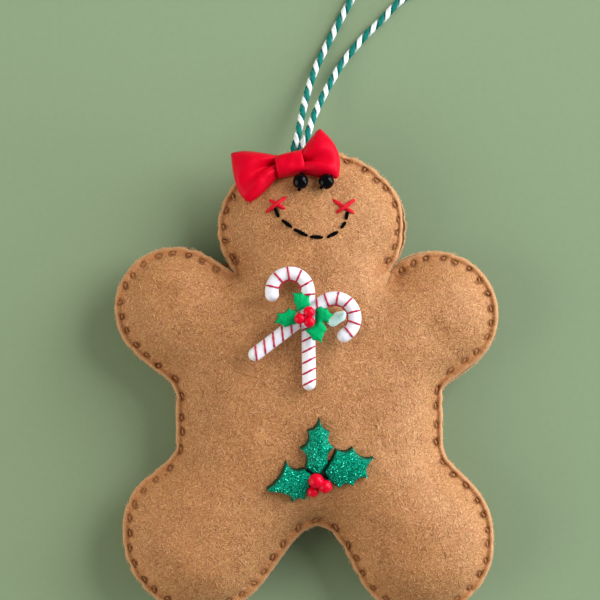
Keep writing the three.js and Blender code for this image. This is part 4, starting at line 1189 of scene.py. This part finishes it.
def cane_path(side, shaft, hook, foot, turn):
    points = [(0, shaft * share) for share in (0, 0.25, 0.5, 0.75)]
    for angle in np.linspace(0, HOOK_TURN, 13):
        points.append((side * hook * (1 - math.cos(angle)), shaft + hook * math.sin(angle)))
    last = points[-1]
    points.append((last[0] - side * CANE_TIP * math.sin(HOOK_TURN - math.pi), last[1] - CANE_TIP))
    spin = np.array(((math.cos(turn), -math.sin(turn)), (math.sin(turn), math.cos(turn))))
    return [tuple(spin @ np.array(p) + foot) for p in points]


for node, (side, shaft, hook, foot, turn, slope) in CANES.items():
    low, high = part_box(node)
    z = (low[2] + high[2]) * 500 - 0.15
    path = smooth_route([(*p, z) for p in cane_path(side, shaft, hook, foot, turn)], CANE_STEP)
    run = np.arange(len(path)) * CANE_STEP
    from_end = np.minimum(run, run[-1] - run) / (CANE / 2)
    radius = CANE / 2 * np.sqrt(1 - (1 - np.clip(from_end, 0.03, 1)) ** 2)
    radius *= [1 + 0.03 * noise.noise(Vector((r / 4.0, turn, 1.0))) for r in run]
    mesh = ([], [], [])
    join(mesh, *swept(path, round_sections(radius, full_turn(28))), 0)
    tall = max(sides_along(path), key=lambda across: abs(across[0][2]))
    tall = tall * np.sign(tall[0][2])
    flat = np.cross(tall, np.gradient(path, axis=0) / CANE_STEP)

    def on_cane(along, angle):
        """A place on the cane's skin: angle 0 is the top, and the sides are at a quarter turn."""
        spot, up, across = (
            np.array([np.interp(along, run, column) for column in values.T]) for values in (path, tall, flat)
        )
        return spot + np.interp(along, run, radius) * (math.cos(angle) * up + math.sin(angle) * across)

    lines = []
    for at in np.arange(2.0, run[-1] - 1.6, LINE_PITCH):
        bend = slope * (1.0 if at < shaft - 1 else 0.15)
        lines.append([on_cane(at + bend * math.sin(a), a) for a in np.linspace(-1.25, 1.3, 15)])
    inner_side = INNER_LINE if np.dot(flat[0], path[-1] - path[0]) > 0 else -INNER_LINE
    lines.append([on_cane(a, inner_side) for a in np.linspace(shaft + 0.5, run[-1] - 3.5, 30)])
    for line in lines:
        line = even_points(np.array(line), 0.25)
        order = np.arange(len(line))
        width = LINE_HALF + 0.035 * np.sin(order * 0.9 + line[0][0])
        width *= np.clip(np.minimum(order, order[::-1]) / 2 + 0.35, 0, 1)
        join(mesh, *swept(line, round_sections(width, full_turn(8))), 1)
    cane = add_piece(f"clay_{node}", *mesh[:2], [clay, paint], mesh[2])
    stand_for(cane, "figure", "cane_white", node)

# Leaves and berries on the canes
# Leaves cut from thin bright green clay with a scalloped, spiny edge, and three small red beads, glued on.
# A leaf has its tip and stem, and its spines in clockwise order with the hollow of the edge after each.
CANE_LEAF_HEIGHT = 27.5
CANE_LEAF = 1.1
CANE_LEAF_LEAN = (0.13, -0.15)
CANE_LEAVES = {
    "cane_leaf_top": ((291.6, 291.5), (306, 307), [
        (291.6, 291.5, 0.24), (302, 291.9, 0.41), (309.3, 295.5, 0.27), (310.3, 304.2, 0), (303.9, 307.9, 0),
        (296.3, 311.4, 0.2), (292.8, 300.5, 0.27),
    ]),
    "cane_leaf_left": ((273.5, 322.8), (296, 316), [
        (273.5, 322.8, 0.27), (277.3, 312.8, 0.41), (288.7, 307.1, 0.41), (295.8, 309.5, 0.14),
        (296, 318, 0), (296.3, 323.2, 0.07), (284, 326.8, 0.34),
    ]),
    "cane_leaf_right": ((333.8, 314.3), (312, 325), [
        (315.8, 308.6, 0), (321, 306.2, 0.27), (327.2, 308.1, 0.34), (333.8, 314.3, 0.34),
        (328.1, 322.6, 0.27), (321.9, 321.6, -0.14), (326.4, 330, 0.34), (322.9, 335.2, 0.27),
        (322, 343.7, 0.34), (312.5, 339.9, 0.14), (303.9, 329.5, 0), (310.6, 327.6, 0), (314.8, 322.8, 0),
    ]),
}
leaf_clay = mottled_material(
    "clay_green", (0.0, 0.2, 0.05), (0.003, 0.58, 0.19), (1500.0, 4.0), (0.5, 0.0002),
    Roughness=0.62, Specular_IOR_Level=0.05,
)
# The leaves' cut sides get a darker copy of the clay: painted shade
leaf_side_shade = mottled_material(
    "clay_green_side_shade", (0.002, 0.05, 0.016), (0.004, 0.14, 0.045), (1500.0, 3.0), Roughness=0.7
)


def leaf_outline(spines, height):
    """Edge of a leaf, counterclockwise, with a hollow between each spine and the next."""
    corners = [picture_point(*spine[:2], height) for spine in spines]
    points = []
    for a, b, spine in zip(corners, corners[1:] + corners[:1], spines):
        drawn = (a + b) / 2 + spine[2] * np.array((b[1] - a[1], a[0] - b[0]))
        for t in np.linspace(0, 1, 8, endpoint=False):
            points.append((1 - t) ** 2 * a + 2 * t * (1 - t) * drawn + t * t * b)
    return np.array(points)[::-1]


def gap_to(points, others):
    """Distance from each point to the nearest of some others."""
    return np.sqrt(((points[:, None] - others[None]) ** 2).sum(2)).min(1)


def leaf_solid(edge_points, base_z, thickness, crown, ridge_line, spacing, lean=(0, 0)):
    """Points and faces of a leaf, flat below and crowned above with a rounded edge; its sides come last."""
    count = len(edge_points)
    spots = triangle_grid(edge_points.min(0), edge_points.max(0), spacing)
    spots = spots[within(spots, edge_points)]
    spots = spots[gap_to(spots, edge_points) > spacing * 0.45]
    flat, upper_faces, leaf_rim = filled(np.vstack([edge_points, spots]), count, 1e-6)
    away = gap_to(flat, edge_points)
    start, end = (np.array(point) for point in ridge_line)
    way = (end - start) / np.linalg.norm(end - start)
    off_ridge = np.abs((flat - start) @ np.array((-way[1], way[0])))
    height = thickness * (0.5 + 0.5 * (1 - np.exp(-away / 0.3)))
    height += crown * np.clip(1 - off_ridge / 4.0, 0, 1) * (1 - np.exp(-away / 0.6))
    ground = base_z(flat) if callable(base_z) else np.full(len(flat), float(base_z))
    upper = np.column_stack([flat + lean, ground + height])
    lower = np.column_stack([flat, ground])
    size = len(flat)
    faces = upper_faces + [tuple(i + size for i in reversed(face)) for face in upper_faces]
    for a, b in zip(leaf_rim, leaf_rim[1:] + leaf_rim[:1]):
        faces.append((a + size, b + size, b, a))
    return np.vstack([upper, lower]), faces


for node, (tip, stem, spines) in CANE_LEAVES.items():
    low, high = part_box(node)
    ridge_line = (picture_point(*tip, CANE_LEAF_HEIGHT), picture_point(*stem, CANE_LEAF_HEIGHT))
    leaf_edge = leaf_outline(spines, CANE_LEAF_HEIGHT)
    points, faces = leaf_solid(leaf_edge, low[2] * 1000, CANE_LEAF, 0.25, ridge_line, 0.3, CANE_LEAF_LEAN)
    marks = [0] * (len(faces) - len(leaf_edge)) + [1] * len(leaf_edge)
    leaf = add_piece(f"clay_{node}", points, faces, [leaf_clay, leaf_side_shade], marks)
    stand_for(leaf, "figure", "leaf_green", node)

berry_material = mottled_material(
    "berry_red", (0.62, 0.001, 0.016), (0.84, 0.002, 0.03), (500.0, 3.0),
    Roughness=0.22, Specular_IOR_Level=0.15,
)
BERRY_SIDES = 28
BERRY_LEVELS = 18
DIMPLE_WAY = Vector((0.35, -0.5, 0.79))


def berry(name, x, y, z, radius, seed):
    """A slightly uneven ball with a small dimple where it was held."""
    points = []
    for polar in np.linspace(0.02, math.pi - 0.02, BERRY_LEVELS):
        for angle in full_turn(BERRY_SIDES):
            ring = math.sin(polar)
            way = Vector((ring * math.cos(angle), ring * math.sin(angle), math.cos(polar)))
            reach = radius * (1 + 0.025 * noise.noise(way * 1.7 + Vector((seed, 0, 0))))
            reach -= 0.1 * radius * bell((way - DIMPLE_WAY).length, 0.16)
            points.append((x + way.x * reach, y + way.y * reach, z + way.z * reach))
    last = (BERRY_LEVELS - 1) * BERRY_SIDES
    faces = [tuple(range(BERRY_SIDES)), tuple(reversed(range(last, last + BERRY_SIDES)))]
    for row in range(0, last, BERRY_SIDES):
        for k in range(BERRY_SIDES):
            a, b = row + k, row + (k + 1) % BERRY_SIDES
            faces.append((a, a + BERRY_SIDES, b + BERRY_SIDES, b))
    return add_piece(name, points, faces, [berry_material])


CANE_BERRIES = [(308.9, 312.1, 1.45), (299.9, 318.6, 1.38), (309.3, 321.8, 1.4)]
CANE_BERRY_HEIGHT = 29.5
for number, (px, py, radius) in enumerate(CANE_BERRIES, 1):
    low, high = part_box(f"cane_berry_{number}")
    x, y = picture_point(px, py, CANE_BERRY_HEIGHT)
    z = (low[2] + high[2]) * 500 - 0.2
    piece = berry(f"red_cane_berry_{number}", x, y, z, radius, number * 3.1)
    stand_for(piece, "figure", "berry_red", f"cane_berry_{number}")

# Glue
# A smear of clear hot glue that squeezed out beside the leaves, inside the slanted cane's hook.
# It set as a low dome with an uneven edge.
GLUE_MIDDLE = (337.0, 318.4)
GLUE_RIDGE = ((330, 322), (342, 315))
GLUE_REACH = (2.5, 1.5)
GLUE_TURN = math.radians(28)
# The glue's glow is painted light: it brightens the smear where it lies in the cane's shadow
glue_material = mottled_material(
    "hot_glue", (0.6, 0.95, 0.92), (0.75, 1.0, 1.0), (600.0, 3.0), Roughness=0.28, Alpha=0.96,
    Emission_Color=(0.6, 0.9, 0.85, 1), Emission_Strength=0.25,
    Subsurface_Weight=0.2, Subsurface_Radius=(0.001, 0.001, 0.0008),
)
smear = []
for angle in full_turn(44):
    reach = 1 + 0.12 * math.sin(2 * angle + 0.7) + 0.07 * math.sin(5 * angle)
    long, wide = GLUE_REACH[0] * reach * math.cos(angle), GLUE_REACH[1] * reach * math.sin(angle)
    smear.append(picture_point(*GLUE_MIDDLE) + np.array((
        long * math.cos(GLUE_TURN) - wide * math.sin(GLUE_TURN),
        long * math.sin(GLUE_TURN) + wide * math.cos(GLUE_TURN),
    )))
low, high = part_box("cane_glue")
ridge_line = [picture_point(*point) for point in GLUE_RIDGE]
points, faces = leaf_solid(np.array(smear), low[2] * 1000 - 0.2, 0.7, 1.6, ridge_line, 0.4)
glue = add_piece("glue_smear", points, faces, [glue_material])
stand_for(glue, "figure", "hot_glue", "cane_glue")

# Glitter holly
# Three thick cast leaves with a low middle ridge, full of green glitter, and three red berries, glued on.
# Loose flakes lie on top. Painted shade: the leaves' sides are darker, and a dark disc under the berries
# fills the gaps between the leaves.
HOLLY_HEIGHT = 23.0
HOLLY_LEAF = 1.9
HOLLY_LEAN = (0.45, -0.6)
FLAKES = 380
SHADE_DISC = (318.5, 469.0, 21.0)
SHADE_DISC_RADIUS = 2.9
HOLLY = {
    "holly_leaf_top": ((318.3, 417), (319.1, 471.4), [
        (318.3, 417, 0.36), (328.3, 429.9, 0.45), (332.2, 445.5, 0.38), (326.2, 461.1, 0.08),
        (319.1, 471.8, 0), (311.4, 471, 0.15), (304.1, 465.4, 0.42), (299, 447, 0.45), (306.7, 429, 0.36),
    ]),
    "holly_leaf_right": ((372.5, 456.2), (325.1, 467.6), [
        (334.6, 447.4, 0.42), (351.5, 445.7, 0.42), (372.5, 456.2, 0.4), (366.5, 476.3, 0.49),
        (351.5, 484.3, 0.49), (337.6, 486.6, 0.22), (326.5, 480.5, 0.08), (322.5, 469.5, 0.08),
        (328.6, 459.9, 0.15),
    ]),
    "holly_leaf_left": ((265.8, 488), (309, 479), [
        (265.8, 487.5, 0.22), (284.9, 459.9, 0.52), (302.9, 466.9, 0.15), (313.5, 473.5, 0.1),
        (311, 482.1, 0), (306, 489.4, 0.15), (303.3, 499.1, 0.52), (290.4, 501.4, 0.45),
        (284.4, 492.9, 0.08), (266.4, 489.9, 0),
    ]),
}
glitter, tree, shader = new_material(
    "glitter_green", Roughness=0.35, Specular_IOR_Level=0.15, Specular_Tint=(0.3, 1.0, 0.8, 1)
)
place = add_node(tree, "ShaderNodeTexCoord")
cells = add_node(tree, "ShaderNodeTexVoronoi", Scale=4200.0, Randomness=1.0)
tree.links.new(place.outputs["Object"], cells.inputs["Vector"])
split = add_node(tree, "ShaderNodeSeparateColor")
tree.links.new(cells.outputs["Color"], split.inputs["Color"])
ramp = add_node(tree, "ShaderNodeValToRGB")
ramp.color_ramp.elements[0].color = (0.0, 0.04, 0.02, 1)
ramp.color_ramp.elements[1].color = (0.0, 0.5, 0.31, 1)
ramp.color_ramp.elements.new(0.55).color = (0.0, 0.21, 0.12, 1)
tree.links.new(split.outputs["Red"], ramp.inputs["Fac"])
tree.links.new(ramp.outputs["Color"], shader.inputs["Base Color"])
rough = add_node(tree, "ShaderNodeMapRange", To_Min=0.12, To_Max=0.5)
tree.links.new(split.outputs["Green"], rough.inputs["Value"])
tree.links.new(rough.outputs["Result"], shader.inputs["Roughness"])
add_relief(tree, shader, split.outputs["Blue"], 0.7, 0.00015)
flake_green = mottled_material(
    "flake_green", (0.0, 0.26, 0.15), (0.03, 0.8, 0.52), (1300.0, 1.0), Roughness=0.3, Metallic=0.7
)
# Painted shade on the leaves' sides and on the disc under the berries: a dark copy of the green
cast_side_shade = mottled_material(
    "cast_side_shade", (0.0, 0.02, 0.01), (0.0, 0.1, 0.055), (1600.0, 3.0), Roughness=0.45
)


def felt_under(places):
    return np.array([felt_height(*place) for place in places]) - 0.1


for node, (tip, stem, spines) in HOLLY.items():
    leaf_edge = leaf_outline(spines, HOLLY_HEIGHT)
    ridge_line = (picture_point(*tip, HOLLY_HEIGHT), picture_point(*stem, HOLLY_HEIGHT))
    points, faces = leaf_solid(leaf_edge, felt_under, HOLLY_LEAF, 0.9, ridge_line, 0.4, HOLLY_LEAN)
    marks = [0] * (len(faces) - len(leaf_edge)) + [2] * len(leaf_edge)
    mesh = (list(map(tuple, points)), faces, marks)
    upper = points[:len(points) // 2]
    away = gap_to(upper[:, :2] - HOLLY_LEAN, leaf_edge)
    for spot in dice.choice(np.where(away > 0.3)[0], FLAKES):
        middle = Vector(upper[spot] + (*dice.uniform(-0.15, 0.15, 2), 0.05))
        tilts = [Matrix.Rotation(dice.uniform(-0.5, 0.5), 3, axis) for axis in "XY"]
        size = dice.uniform(0.08, 0.16)
        corners = [Vector((size * math.cos(a), size * math.sin(a), 0)) for a in full_turn(6)]
        join(mesh, [middle + tilts[0] @ tilts[1] @ corner for corner in corners], [range(6)], 1)
    if node == "holly_leaf_top":
        # A dark disc under the berries: painted shade that fills the gaps between the leaves
        around = full_turn(24)
        shade_disc = picture_point(*SHADE_DISC) + SHADE_DISC_RADIUS * np.column_stack([np.cos(around), np.sin(around)])
        join(mesh, *leaf_solid(shade_disc, felt_under, 0.7, 0.0, ridge_line, 0.5), 2)
    leaf = add_piece(f"cast_{node}", *mesh[:2], [glitter, flake_green, cast_side_shade], mesh[2])
    stand_for(leaf, "figure", "glitter_green", node)

HOLLY_BERRIES = [(316.2, 481.1, 1.9), (325.1, 486.7, 1.7), (313.1, 492.2, 1.42)]
HOLLY_BERRY_HEIGHT = 23.5
for number, (px, py, radius) in enumerate(HOLLY_BERRIES, 1):
    x, y = picture_point(px, py, HOLLY_BERRY_HEIGHT)
    piece = berry(f"red_holly_berry_{number}", x, y, felt_height(x, y) + radius + 0.6, radius, number * 5.7)
    stand_for(piece, "figure", "berry_red", f"holly_berry_{number}")
